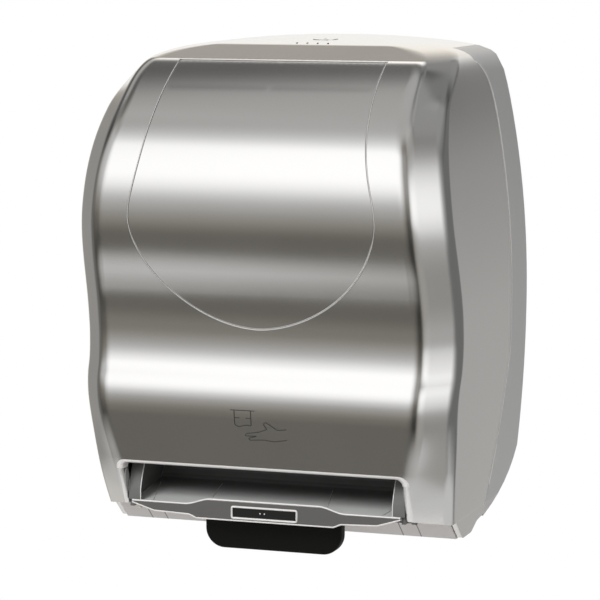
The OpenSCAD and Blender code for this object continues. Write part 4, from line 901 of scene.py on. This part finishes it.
def ribbed_rubber(tree, place):
    x, _, _ = split(tree, place)
    rib = x.fold(0.0009) * 1100.0
    dust = tree.noise(place, 140.0, 4.0)
    return {
        "Base Color": tree.mix(dust, (0.018, 0.018, 0.019), (0.05, 0.05, 0.052)),
        "Roughness": 0.62 + dust * 0.2,
        "bump": (rib, 0.25, 0.0004),
    }


def printed_board(tree, place):
    """Circuit board: solder mask with tracks and tinned pads."""
    black, white = (0, 0, 0, 1), (1, 1, 1, 1)
    grid = tree.add("ShaderNodeTexBrick", {"Vector": place, "Scale": 90.0, "Mortar Size": 0.012, "Color1": black,
                                           "Color2": black, "Mortar": white}, offset=0.37)
    track = tree.add("ShaderNodeRGBToBW", {0: grid})
    dots = tree.add("ShaderNodeTexVoronoi", {"Vector": place, "Scale": 260.0})
    pad = dots.step(0.3, 0.24)
    mask = tree.mix(track * 0.6, (0.008, 0.075, 0.03), (0.03, 0.19, 0.08))
    return {
        "Base Color": tree.mix(pad, mask, (0.62, 0.6, 0.55)),
        "Metallic": pad,
        "Roughness": 0.42 - pad * 0.14,
        "bump": (track + pad, 0.2, 0.0002),
    }


CELL_PITCH = 0.0717


def cell_jacket(tree, place):
    """Battery jacket: a printed band, a dark body and bare ends."""
    low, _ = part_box("battery_cells")
    x, _, _ = split(tree, place)
    way = tree.add("ShaderNodeMath", {0: x - low[0], 1: CELL_PITCH, 2: 0.0}, operation="WRAP")
    scuff = tree.noise(place, 80.0, 4.0)
    band = way.step(0.0395, 0.0398)
    tip = way.step(0.0585, 0.0588).most(way.step(0.0012, 0.0009))
    jacket = tree.mix(band, (0.012, 0.013, 0.015), (0.62, 0.33, 0.05))
    return {
        "Base Color": tree.mix(tip, jacket, (0.66, 0.66, 0.64)),
        "Metallic": tip,
        "Roughness": 0.28 + scuff * 0.14,
        "bump": (scuff, 0.03, 0.0003),
    }


def card_core(tree, place):
    """Spiral-wound card."""
    x, y, z = split(tree, place)
    turn = (z - 0.01).angle_over(y + 0.112)
    wind = (x * 18.0 + turn * 0.159).fold(0.5)
    joint = wind.step(0.03, 0.0)
    fibre = tree.noise(place, 420.0, 5.0, 0.7)
    base = tree.mix(fibre, (0.38, 0.27, 0.16), (0.56, 0.43, 0.29))
    return {
        "Base Color": tree.mix(joint, base, (0.25, 0.17, 0.1)),
        "Roughness": 0.85,
        "bump": (fibre - joint, 0.3, 0.0004),
    }


def towel_paper(tree, place):
    """Soft embossed paper: small raised dots and fibres."""
    colour = colour_of("paper")
    dots = tree.add("ShaderNodeTexVoronoi", {"Vector": place, "Scale": 330.0})
    fibre = tree.noise(place, 900.0, 5.0, 0.7)
    blot = tree.noise(place, 30.0, 2.0)
    return {
        "Base Color": tree.mix(fibre * 0.6 + blot * 0.4, shade(colour, 0.9), shade(colour, 1.05)),
        "Roughness": 0.92,
        "bump": (fibre * 0.4 - dots, 0.5, 0.0006),
    }


FINISHES = {
    "silver_shell": satin_shell,
    "housing_grey": painted_housing,
    "chute_grey": chute_grey,
    "black_lever": moulded("lever", 0.5, grain_scale=1500.0, grain=0.12, shine=0.15),
    "black_lens": moulded((0.004, 0.004, 0.005), 0.09, grain=0.0, coat=0.5, edge=0.0003),
    "steel": turned_metal((0.74, 0.74, 0.74), 0.28),
    "spring_steel": turned_metal((0.55, 0.55, 0.57), 0.3, (900.0, 900.0, 900.0)),
    "roller_rubber": ribbed_rubber,
    "bearing_plastic": moulded((0.72, 0.69, 0.6), 0.4),
    "gear_plastic": moulded((0.8, 0.78, 0.7), 0.38),
    "brass": turned_metal((0.72, 0.53, 0.25), 0.3, (400.0, 400.0, 400.0)),
    "dark_plastic": moulded((0.045, 0.047, 0.05), 0.45),
    "plug_blue": moulded((0.03, 0.11, 0.24), 0.4),
    "circuit_board": printed_board,
    "cell_jacket": cell_jacket,
    "red_button": moulded((0.5, 0.02, 0.015), 0.35),
    "switch_white": moulded((0.8, 0.8, 0.77), 0.35),
    "card_core": card_core,
    "towel_paper": towel_paper,
    # pale colour of the slot's rolled lip, also used on the beads that paint highlights along edges
    "slot_lip": moulded((0.93, 0.89, 0.88), 0.3, 0.3, grain=0.03, edge=0.0),
    # painted shade: the frame plates and the chute's cheeks are coloured dark for the shade they sit in
    "frame_grey": moulded((0.15, 0.152, 0.148), 0.42, edge=0.0003),
    "cover_inside": moulded((0.42, 0.42, 0.41), 0.5, edge=0.0),
    "line_ink": moulded((0.035, 0.034, 0.03), 0.6, grain=0.0, edge=0.0),
}


def finish_of(slot):
    """The material of a record slot or of a detail, made once."""
    name = "finish_" + slot
    return bpy.data.materials.get(name) or surface(name, FINISHES[slot])


NODE_SLOTS = {part["node"]: part["material_slot"] for part in frame["record"]["subparts"]}
NODE_BODIES = {node: body for body, nodes in frame["record"]["behaviour"]["bodies"].items() for node in nodes}


def stand_for(piece, *nodes):
    """A piece rides on its node's body and hides the nodes it stands for."""
    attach(piece, NODE_BODIES[nodes[0]])
    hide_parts(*nodes)
    return piece


def add_on(piece, body):
    """A detail rides on a body."""
    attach(piece, body)
    return piece


def trim(name, paths, radius, finish, body="housing", slot="chute_grey", **more):
    """A bead as a detail of a body."""
    return add_on(bead(name, paths, radius, finish_of(finish), **more), body)


class DISPENSER_OT_cover(bpy.types.Operator):
    """Build the bowed cover and its window panel"""
    bl_idname = "dispenser.cover"
    bl_label = "Cover"

    def execute(self, context):
        form = case_form()
        finish = finish_of("silver_shell")
        for name, skin, node, edge in (("cover_shell", cover_skin, "front_cover", EDGE),
                                       ("cover_window", window_skin, "window_panel", WINDOW_EDGE)):
            points, normals, faces, lip_from = skin(form)
            count = len(faces)
            points, faces, normals = shell_of(points, normals, faces, form.s.wall, edge)
            piece = new_piece(name, points, faces, finish, normals)
            for other in ("slot_lip", "cover_inside"):
                piece.data.materials.append(finish_of(other))
            part = np.zeros(len(faces), int)
            middle = np.array([np.mean(points[f], axis=0) for f in faces[:count]])
            rolled = np.arange(count) % (count // 2) >= lip_from
            part[:count][rolled & (middle[:, 2] > form.s.slot_top - form.s.slot_round)] = 1
            part[count:2 * count] = 2
            piece.data.polygons.foreach_set("material_index", part)
            stand_for(piece, node)
        for side, name in zip(SIDES, ("left_ear", "right_ear")):
            for piece in hinge_ear(form, side, name, finish):
                add_on(piece, "cover")
        # a pale bead sunk in the window's seam paints the highlight of the seam's edges
        seam = spaced(np.stack(form.window_edge(0.0), -1), 0.0015)
        seam = np.concatenate([seam * [-1, 1], seam[-2::-1]])
        trim("window_seam", form.on_front([seam], -0.00008), 0.0002, "slot_lip", "cover", "silver_shell", sides=6)
        return {"FINISHED"}


# Line drawing of a hand under a hanging sheet, in (x, z), and four small marks on the top, in (x, depth)
SIGN = (
    ((-0.0195, 0.1030), (-0.0005, 0.1030)),
    ((-0.0165, 0.1030), (-0.0165, 0.0915), (-0.0130, 0.0902), (-0.0100, 0.0912), (-0.0065, 0.0920), (-0.0035, 0.0910),
     (-0.0035, 0.1030)),
    ((-0.0165, 0.0972), (-0.0125, 0.0972)),
    ((-0.0075, 0.0972), (-0.0035, 0.0972)),
    ((0.0240, 0.0900), (0.0170, 0.0890), (0.0110, 0.0930), (0.0075, 0.0948), (0.0060, 0.0930), (0.0090, 0.0893),
     (0.0020, 0.0868), (-0.0080, 0.0852), (-0.0088, 0.0834), (0.0010, 0.0836), (-0.0062, 0.0818), (-0.0055, 0.0802),
     (0.0060, 0.0810), (0.0140, 0.0800), (0.0240, 0.0818)),
)
TOP_MARKS = ((-0.009, 0.1025), (-0.0005, 0.1025), (0.008, 0.103), (0.0165, 0.1035))


class DISPENSER_OT_marks(bpy.types.Operator):
    """Draw the sign on the front and the small marks on the top"""
    bl_idname = "dispenser.marks"
    bl_label = "Marks"

    def execute(self, context):
        form = case_form()
        lines = [spaced(eased(line, 0.0016, closed=False), 0.0006) for line in SIGN]
        trim("hand_sign", form.on_front(lines, 0.0001), 0.00032, "line_ink", "cover", "dark_plastic", sides=6)
        strokes = []
        for x, depth in TOP_MARKS:
            v = form.v_at_depth(depth + np.linspace(-0.0012, 0.0012, 5))
            strokes.append(form.at(form.u_where(0, abs(x), v), v) * [math.copysign(1.0, x), 1, 1])
        trim("top_marks", strokes, 0.0005, "line_ink", "cover", "dark_plastic", sides=6)
        return {"FINISHED"}


LIP_D = 0.205
LIP_HALF = 0.107
CHUTE_RIBS = (
    ((-0.1018, -0.158, 0.0311), (-0.091, -0.2025, 0.0254)),
    ((0.1018, -0.158, 0.0311), (0.091, -0.2025, 0.0254)),
    ((-0.047, -0.200, 0.0255), (-0.053, -0.152, 0.0319)),
    ((0.047, -0.200, 0.0255), (0.037, -0.152, 0.0319)),
)
SENSOR_ROOM = 0.0006
CHEEK = {"inner": 0.1005, "outer": 0.1102, "r": 0.0855, "top_turn": 32.4, "low": 0.0257, "thick": 0.0009}
LIP_UNDER = ((LIP_HALF, 0.024), (0.089, 0.0185), (0.0605, 0.0175), (0.0545, 0.015))
LEVER = {"half": 0.0545, "low": -0.01125, "top": 0.0125, "corner": 0.015, "face": -0.185, "thick": 0.009,
         "shell": 0.0025, "arm": 0.0465, "arm_thick": 0.005, "shaft_d": 0.172, "shaft_z": 0.019, "shaft_r": 0.003}


class DISPENSER_OT_mouth(bpy.types.Operator):
    """Trim the chute's lip and the sensor, and shape the push lever"""
    bl_idname = "dispenser.mouth"
    bl_label = "Mouth"

    def execute(self, context):
        front = -LIP_D + 0.0006
        x = np.linspace(-LIP_HALF, LIP_HALF, 130)
        over = np.stack([x, np.full(130, front), 0.0253 + 0.0046 * smooth((0.064 - np.abs(x)) / 0.021)], -1)
        half = np.array([(a, front, b) for a, b in LIP_UNDER])
        # a pale bead along the chute lip's upper and lower edges paints their highlight
        trim("lip_bead", [over, np.concatenate([half * [-1, 1, 1], half[::-1]])], 0.00075, "slot_lip")
        trim("chute_ribs", [np.array(line) for line in CHUTE_RIBS], 0.0003, "chute_grey")
        low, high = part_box("sensor_window")
        left, right = low[0] - SENSOR_ROOM, high[0] + SENSOR_ROOM
        foot, top = low[2] - SENSOR_ROOM, high[2] + SENSOR_ROOM
        ring = eased([(left, foot), (right, foot), (right, top), (left, top)], 0.0014)
        ring = np.stack([ring[:, 0], np.full(len(ring), -LIP_D), ring[:, 1] + SCREW_Z], -1)
        # a pale frame round the sensor window, whose pale colour also paints the highlight of the opening's edge
        trim("sensor_frame", [ring], 0.0008, "slot_lip", closed=True)
        middle = (low[2] + high[2]) / 2 + SCREW_Z
        # painted glints: two pale dots on the dark sensor lens
        eyes = [[(a, low[1] + 0.0012, middle), (a, low[1] - 0.0002, middle)] for a in (-0.0035, 0.0)]
        trim("sensor_eyes", eyes, 0.00055, "slot_lip", sides=16)
        self.close_ends()
        self.shape_lever()
        return {"FINISHED"}

    def close_ends(self):
        """Cheeks at the chute's ends, on an arc that the cover's lip clears when it swings open."""
        turn = np.radians(np.linspace(17.5, CHEEK["top_turn"], 9))
        arc = np.stack([-HINGE_D - CHEEK["r"] * np.cos(turn), HINGE_Z + CHEEK["r"] * np.sin(turn)], -1)
        front = np.concatenate([[(arc[0, 0], CHEEK["low"])], arc])
        outline = np.concatenate([front, front[::-1] + [CHEEK["thick"], 0.0]])
        edges = []
        for side, name in zip(SIDES, ("left_cheek", "right_cheek")):
            inner = side * CHEEK["inner"]
            # the cheeks take the dark painted-shade finish
            add_on(plate(name, [outline], inner, side * CHEEK["outer"], finish_of("frame_grey"), 0.0002),
                   "housing")
            edges.append(np.insert(front, 0, inner, axis=1))
        # pale beads along the cheeks' front edges paint their highlight
        trim("cheek_edges", edges, 0.0004, "slot_lip")

    def shape_lever(self):
        size = LEVER
        finish = finish_of("black_lever")
        w, low, top, r = size["half"], size["low"], size["top"], size["corner"]
        turn = np.radians(np.linspace(0, 90, 14))
        corner = np.stack([w - r + r * np.cos(turn), low + r - r * np.sin(turn)], -1)
        half = np.concatenate([[(w - 0.0012, top), (w, top - 0.0012)], corner])
        outline = np.concatenate([half, half[::-1] * [-1, 1]])
        shape = bmesh.new()
        front = shape.faces.new([shape.verts.new((a, size["face"], b - SCREW_Z)) for a, b in outline])
        grown = pushed(shape, [front], (0, size["thick"], 0))
        back = next(f for f in grown if isinstance(f, bmesh.types.BMFace))
        face_outward(shape)
        bmesh.ops.inset_region(shape, faces=[back], thickness=size["shell"], use_even_offset=True)
        pushed(shape, [back], (0, size["shell"] - size["thick"], 0))
        shape.faces.remove(back)
        face = size["face"] + 1e-6
        soften(shape, [e for e in shape.edges if all(v.co.y < face for v in e.verts)], 0.0012, 3)
        stand_for(finished(shape, "lever_paddle", finish, 30), "lever")
        d, z, s = -size["shaft_d"], size["shaft_z"], size["shaft_r"]
        inner, rear = size["face"] + 0.001, size["face"] + size["thick"]
        turn = np.radians(np.linspace(-50, 150, 24))
        boss = np.stack([d + (s + 0.002) * np.cos(turn), z + (s + 0.002) * np.sin(turn)], -1)
        outline = np.concatenate([[(inner, top - 0.0001), (inner, 0.002), (rear, 0.002), (d + s, z - s - 0.001)], boss])
        for side, name in zip(SIDES, ("lever_left_arm", "lever_right_arm")):
            arm = plate(name, [outline, circle((d, z), s)], side * (size["arm"] - size["arm_thick"]),
                        side * size["arm"], finish)
            add_on(arm, "push_lever")


REBUILT = {"front_cover", "window_panel", "towel_roll", "lever", "lock_barrel", "lock_plug"}
# Corner taken off the front of both frame plates beside the slot, in (y, z)
PLATE_CUT = ((-0.23, 0.0585), (-0.1945, 0.0585), (-0.1945, 0.0365), (-0.2035, 0.0262), (-0.23, 0.0262))


def trim_plate(piece):
    """Cuts the front corner off a frame plate."""
    low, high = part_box(piece.name.removesuffix("_piece"))
    cutter = plate("cutter", [PLATE_CUT], low[0] - 0.001, high[0] + 0.001, finish_of("housing_grey"), 0.00001)
    cut = piece.modifiers.new("cut", "BOOLEAN")
    cut.operation, cut.solver, cut.object = "DIFFERENCE", "EXACT", cutter
    bpy.context.view_layer.update()
    settle(piece)
    bpy.data.objects.remove(cutter)


def turned(name, profile, centre, material, lean=0.0):
    """A piece turned about an upright line from its closed profile in (radius, z). It may rise towards the wall."""
    shape = bmesh.new()
    turns = np.linspace(0, 2 * math.pi, 56, endpoint=False)
    ways = np.stack([np.cos(turns), np.sin(turns), lean * np.sin(turns)], -1)
    rings = [[shape.verts.new((*centre[:2], z) + r * way) for way in ways] for r, z in profile]
    for one, two in zip(rings, rings[1:] + rings[:1]):
        for i in range(len(turns)):
            j = (i + 1) % len(turns)
            shape.faces.new((one[i], one[j], two[j], two[i]))
    return finished(shape, name, material, 20)


def build_lock():
    """Turned barrel of the cover lock, whose collar lies nearly flush on the cover, and its plug with a key slot."""
    low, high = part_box("lock_barrel")
    plug_low, plug_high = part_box("lock_plug")
    centre, form = (low + high) / 2, case_form()
    bore, rim = (plug_high[0] - plug_low[0]) / 2 + 0.0001, (high[0] - low[0]) / 2
    rear, front = np.interp(form.v_at_depth(np.array([LOCK_D - LOCK_R, LOCK_D + LOCK_R])), form.v, form.z)
    lean, face = (rear - front) / (2 * LOCK_R), (rear + front) / 2 - SCREW_Z + LOCK_PROUD
    neck = LOCK_R - 0.0001
    profile = [(bore, low[2]), (neck, low[2]), (neck, face - 0.0008), (rim, face - 0.0006), (rim, face - 0.00006),
               (rim - 0.00006, face), (bore, face)]
    polished = finish_of("silver_shell")
    stand_for(turned("lock_collar", profile, centre, polished, lean), "lock_barrel")
    r = bore - 0.00004
    profile = [(0.0001, plug_low[2]), (r, plug_low[2]), (r, face), (0.0001, face)]
    stand_for(turned("lock_key_plug", profile, centre, polished, lean), "lock_plug")
    slot = [(centre[0], centre[1] + a, face + SCREW_Z - 0.0003 + lean * a) for a in (-0.0028, 0.0028)]
    trim("key_slot", [slot], 0.0004, "line_ink", "lock", "steel")


def bow_normals(piece, form, reach=0.0012):
    """Gives the faces that lie within reach of the bow the true bow's directions. Upright flats stay flat."""
    mesh = piece.data
    corners = np.array([tuple(n.vector) for n in mesh.corner_normals])
    places = places_of(mesh) + [0, 0, SCREW_Z]
    for face in mesh.polygons:
        x, _, z = places[list(face.vertices)].T
        own = slice(face.loop_start, face.loop_start + face.loop_total)
        if abs(face.normal.y) > 0.9999:
            corners[own] = face.normal
        elif abs(face.normal.y) < 0.1 and (np.abs(np.abs(x) - form.half_width(z)) < reach).all():
            lean = (form.half_width(z + 1e-4) - form.half_width(z - 1e-4)) / 2e-4
            corners[own] = unit(np.stack([np.sign(x), np.zeros(len(x)), -lean], -1))
    mesh.normals_split_custom_set([tuple(n) for n in corners])


def parting_beads(form):
    """Fine raised edge of the housing along the parting line, stronger towards its ends; its pale finish paints the
    edge's highlight.
    """
    for name, low, high, radius in (("upper_part_bead", 0.205, form.part_top, 0.0006),
                                    ("middle_part_bead", 0.06, 0.205, 0.00035),
                                    ("lower_part_bead", 0.03, 0.06, 0.0006)):
        z = np.linspace(low, high, 50)
        line = form.at(form.u_where(1, 0.0008 - form.part_depth(z), z), z)
        trim(name, [line, line * [-1, 1, 1]], radius, "slot_lip", slot="housing_grey")


def even_shading(piece):
    """Smooth shading in which broad flat faces stay flat."""
    smooth_faces(piece.data, 32)
    even = piece.modifiers.new("even", "WEIGHTED_NORMAL")
    even.keep_sharp, even.weight = True, 100
    bpy.context.view_layer.update()
    settle(piece)


class DISPENSER_OT_carried(bpy.types.Operator):
    """Copy the remaining CAD nodes with joined, smooth faces and give them their finishes"""
    bl_idname = "dispenser.carried"
    bl_label = "Carried parts"

    def execute(self, context):
        for node, source in sorted(frame["nodes"].items()):
            if node in REBUILT:
                continue
            mesh = source.data.copy()
            mesh.materials.clear()
            framed = node in ("left_frame", "right_frame")
            # the frame plates take the dark painted-shade finish in place of their record slot's finish
            mesh.materials.append(finish_of("frame_grey" if framed else NODE_SLOTS[node]))
            piece = linked(node + "_piece", mesh)
            reshaped(mesh, join_close)
            if framed:
                trim_plate(piece)
            even_shading(piece)
            if node == "rear_housing":
                bow_normals(piece, case_form())
            stand_for(piece, node)
        parting_beads(case_form())
        build_lock()
        return {"FINISHED"}


ROLL_TURNS = 58


class DISPENSER_OT_roll(bpy.types.Operator):
    """Wind the towel roll as one long spiral sheet"""
    bl_idname = "dispenser.roll"
    bl_label = "Towel roll"

    def execute(self, context):
        low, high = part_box("towel_roll")
        core_low, core_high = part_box("roll_core")
        outer, inner = (high[2] - low[2]) / 2, (core_high[2] - core_low[2]) / 2
        pitch = (outer - inner) / ROLL_TURNS
        sizes = {"Turns": float(ROLL_TURNS), "Inner radius": inner + pitch / 2, "Outer radius": outer - pitch / 2,
                 "Width": high[0] - low[0], "Sheet": pitch * 0.9}

        def build(tree, take):
            spiral = tree.add("GeometryNodeCurveSpiral", {
                "Resolution": 72, "Height": 0.0, "Rotations": take["Turns"], "Start Radius": take["Inner radius"],
                "End Radius": take["Outer radius"]})
            strip = tree.add("GeometryNodeCurvePrimitiveQuadrilateral",
                             {"Width": take["Sheet"], "Height": take["Width"]})
            return tree.add("GeometryNodeCurveToMesh", {"Curve": spiral, "Profile Curve": strip, "Fill Caps": True})

        piece = modelled("wound_roll", [*((name, "NodeSocketFloat", value) for name, value in sizes.items()),
                                        ("Finish", "NodeSocketMaterial", finish_of("towel_paper"))], build)
        centre = (low + high) / 2
        placed = places_of(piece.data)[:, [2, 0, 1]] + np.array(centre)
        piece.data.vertices.foreach_set("co", placed.ravel())
        piece.data.update()
        stand_for(piece, "towel_roll")
        return {"FINISHED"}


CAMERA_AT = (0.70564, -2.17554, 0.21911)
CAMERA_TO = (-0.000574, -0.120, -0.061723)
CAMERA_LENS = 170.1
LAMP_AT = (-0.6, -1.9, 1.1)
LAMP_POWER = 27.0
FLOOR_Z = -1.35
FLOOR_R = 1.2
LIGHT_PEAK = 1.4


def studio_light(tree, way):
    """Radiance of the studio by direction: soft boxes at the front, the rear and the right, a slanted low card all
    round, a high card and a dim wall at the rear right. Elevation and azimuth are in degrees."""
    x, y, z = split(tree, way)
    to_degrees = 180 / math.pi
    up = z.angle_over((x * x + y * y).root()) * to_degrees
    round_to = x.angle_over(-y) * to_degrees

    def ramp(value, reach, stops):
        spread = [((a + reach) / (2 * reach), b / LIGHT_PEAK) for a, b in stops]
        share = tree.add("ShaderNodeValToRGB", {0: (value + reach) / (2 * reach)}, stops=spread)
        return tree.add("ShaderNodeRGBToBW", {0: share}) * LIGHT_PEAK

    def by_height(*stops):
        return ramp(up, 90, stops)

    def by_turn(*stops):
        return ramp(round_to, 180, stops)

    front = by_height(
        (-33, 0.135), (-27, 0.14), (-23, 0.18), (-16, 0.28), (-8.5, 0.357), (-4, 0.43), (-1, 0.54), (1.2, 0.665),
        (3.7, 0.82), (6.4, 1.0), (9.3, 1.14), (12.3, 1.24), (16, 1.33), (42, 1.33), (45.2, 1.13), (49, 0.92),
        (52.7, 0.765), (56.2, 0.643), (59.5, 0.55), (63, 0.505), (70, 0.47))
    rear = by_height(
        (-90, 0.5), (-40, 0.9), (-10, 1.08), (14, 1.08), (21, 0.6), (25, 0.34), (31, 0.36), (35, 0.7), (38, 1.4),
        (48, 1.4), (53, 0.4), (57, 0.17), (61, 0.15), (64, 0.22), (66, 0.28), (68, 0.38), (70, 0.45), (90, 0.48))
    sweep = by_turn(
        (-153, 1.0), (-143, 0.4), (-125, 0.3), (-112, 0.3), (-104, 0.15), (-90, 0.2), (-75, 0.4), (-50, 0.5),
        (-40, 0.8), (-25, 1.0), (-5, 1.0), (7, 0.75), (22, 0.28), (34, 0.28), (46, 0.16), (165, 0.16), (180, 1.0))
    right = by_height(
        (-90, 0.33), (-22, 0.34), (-13, 0.5), (-6, 0.9), (4, 1.15), (12, 1.1), (20, 0.9), (30, 0.5), (40, 0.36),
        (90, 0.45))
    right_reach = by_turn(
        (34, 0.0), (46, 0.8), (56, 1.1), (70, 1.1), (86, 1.0), (102, 0.36), (116, 0.15), (126, 0.0))
    rim = by_turn(
        (-180, 0.5), (-130, 0.6), (-120, 0.68), (-102, 0.88), (-78, 1.0), (-50, 1.1), (-38, 1.2), (-29, 1.25),
        (-26, 1.285), (-24, 1.32), (-22, 1.335), (-18, 1.36), (56, 1.36), (80, 1.25), (102, 0.86), (126, 0.73),
        (148, 0.6), (180, 0.5)) * 30
    card = ramp(up + rim, 60, [(-60, 0.62), (-4, 0.65), (-1.5, 0.56), (0, 0.4), (2, 0.2), (5, 0.0)])
    card_reach = by_turn(
        (-150, 0.0), (-134, 1.0), (-45, 1.0), (-34, 1.38), (-26, 1.34), (-23, 1.12), (-19, 1.0), (134, 1.0),
        (160, 0.0))
    high = by_height((10, 0.0), (22, 0.2), (34, 0.33), (50, 0.33), (60, 0.5))
    high_reach = by_turn((88, 0.0), (98, 1.0), (132, 1.0), (146, 0.4), (154, 0.0))
    wall = by_height(
        (-90, 0.5), (-15, 0.44), (-8, 0.43), (-3, 0.36), (0, 0.32), (3, 0.2), (6, 0.15), (16, 0.15), (22, 0.3),
        (34, 0.3), (42, 0.2), (60, 0.2), (90, 0.45))
    wall_reach = by_turn((148, 0.0), (156, 1.0), (172, 1.0), (180, 0.0))
    forward = (-y).step(-0.2, 0.2)
    height = front * forward + rear * (1 - forward)
    level = up.step(66, 50)
    light = height * sweep
    for shine, reach in ((right, right_reach), (card, card_reach), (high, high_reach), (wall, wall_reach)):
        light = light.most(shine * reach)
    light = light * level + height * (1 - level)
    warm = light.step(0.6, 0.15) * forward
    cream = (1 - forward) * x.step(0.1, -0.2) * (0.4 + y.step(0.5, 0.8) * 0.6)
    backdrop = (x + 0.325).size().step(0.3, 0.15) * y.step(0.5, 0.8) * (z + 0.05).size().step(0.3, 0.15)
    return (light * (1.0 + warm * 0.06), light * (1.0 - cream * 0.045), light * (1.0 - warm * 0.11 - cream * 0.105),
            backdrop)


def aimed(name, data, at):
    """A camera or a lamp that looks at the dispenser."""
    thing = linked(name, data)
    thing.location = at
    thing.rotation_mode = "QUATERNION"
    thing.rotation_quaternion = (Vector(CAMERA_TO) - Vector(at)).to_track_quat("-Z", "Y")
    return thing


class DISPENSER_OT_stage(bpy.types.Operator):
    """Set the camera, the floor and the studio light"""
    bl_idname = "dispenser.stage"
    bl_label = "Stage"

    def execute(self, context):
        scene = context.scene
        camera = bpy.data.cameras.new("photo_camera")
        camera.lens, camera.sensor_width = CAMERA_LENS, 36.0
        scene.camera = aimed("photo_camera", camera, CAMERA_AT)
        ring = [(FLOOR_R * math.cos(a), FLOOR_R * math.sin(a), FLOOR_Z + SCREW_Z)
                for a in np.linspace(0, 2 * math.pi, 96, endpoint=False)]
        floor = new_piece("floor", ring, [range(len(ring))], surface("floor_pale", pale_floor))
        lamp = bpy.data.lights.new("front_lamp", "AREA")
        lamp.shape, lamp.size, lamp.energy = "DISK", 1.0, LAMP_POWER
        aimed("front_lamp", lamp, LAMP_AT).visible_glossy = False
        world = bpy.data.worlds.new("studio")
        world.use_nodes = True
        tree = Tree(world.node_tree)
        red, green, blue, backdrop = studio_light(tree, tree.add("ShaderNodeTexCoord", out="Generated"))
        camera_ray, glossy, clear = light_path(tree)
        colour = tree.add("ShaderNodeCombineColor", {0: red, 1: green, 2: blue})
        shown = tree.mix(camera_ray.most((glossy + clear) * backdrop), colour, (1.0, 1.0, 1.0))
        sky = tree.add("ShaderNodeBackground", {"Color": shown, "Strength": 1.0})
        tree.add("ShaderNodeOutputWorld", {"Surface": sky})
        scene.world = world
        scene.view_settings.view_transform = "Standard"
        return {"FINISHED"}


def light_path(tree):
    path = tree.add("ShaderNodeLightPath").socket.node
    return [Sock(tree, path.outputs[name]) for name in ("Is Camera Ray", "Is Glossy Ray", "Is Transmission Ray")]


def pale_floor(tree, place):
    """Pale floor, which metal and glass see nearly as bright as the backdrop."""
    speck = tree.noise(place, 40.0, 4.0)
    _, glossy, clear = light_path(tree)
    return {
        "Base Color": tree.mix(speck, (0.86, 0.86, 0.855), (0.9, 0.9, 0.895)),
        "Roughness": 0.7,
        "Emission Color": tree.mix(glossy.most(clear), (0.0, 0.0, 0.0), (0.22, 0.217, 0.215)),
        "Emission Strength": 1.0,
    }


class DISPENSER_PT_panel(bpy.types.Panel):
    """Sidebar panel with the sizes, the colours and a button for each group of pieces"""
    bl_idname = "DISPENSER_PT_panel"
    bl_label = "Towel dispenser"
    bl_space_type = "VIEW_3D"
    bl_region_type = "UI"
    bl_category = "Dispenser"

    def draw(self, context):
        for group in (context.scene.dispenser_case, context.scene.dispenser_colours):
            box = self.layout.box()
            for name in group.bl_rna.properties.keys():
                if name not in ("rna_type", "name"):
                    box.prop(group, name)
        for operator in OPERATORS:
            self.layout.operator(operator.bl_idname)


GROUPS = (CaseSizes, ShellColours)
OPERATORS = (DISPENSER_OT_stage, DISPENSER_OT_cover, DISPENSER_OT_marks, DISPENSER_OT_carried,
             DISPENSER_OT_mouth, DISPENSER_OT_roll)


def register():
    for cls in (*GROUPS, *OPERATORS, DISPENSER_PT_panel):
        bpy.utils.register_class(cls)
    bpy.types.Scene.dispenser_case = bpy.props.PointerProperty(type=CaseSizes)
    bpy.types.Scene.dispenser_colours = bpy.props.PointerProperty(type=ShellColours)


def unregister():
    del bpy.types.Scene.dispenser_colours
    del bpy.types.Scene.dispenser_case
    for cls in reversed((*GROUPS, *OPERATORS, DISPENSER_PT_panel)):
        bpy.utils.unregister_class(cls)


def main():
    register()
    bpy.ops.dispenser.stage()
    bpy.ops.dispenser.cover()
    bpy.ops.dispenser.marks()
    bpy.ops.dispenser.carried()
    bpy.ops.dispenser.mouth()
    bpy.ops.dispenser.roll()


if __name__ == "__main__":
    main()
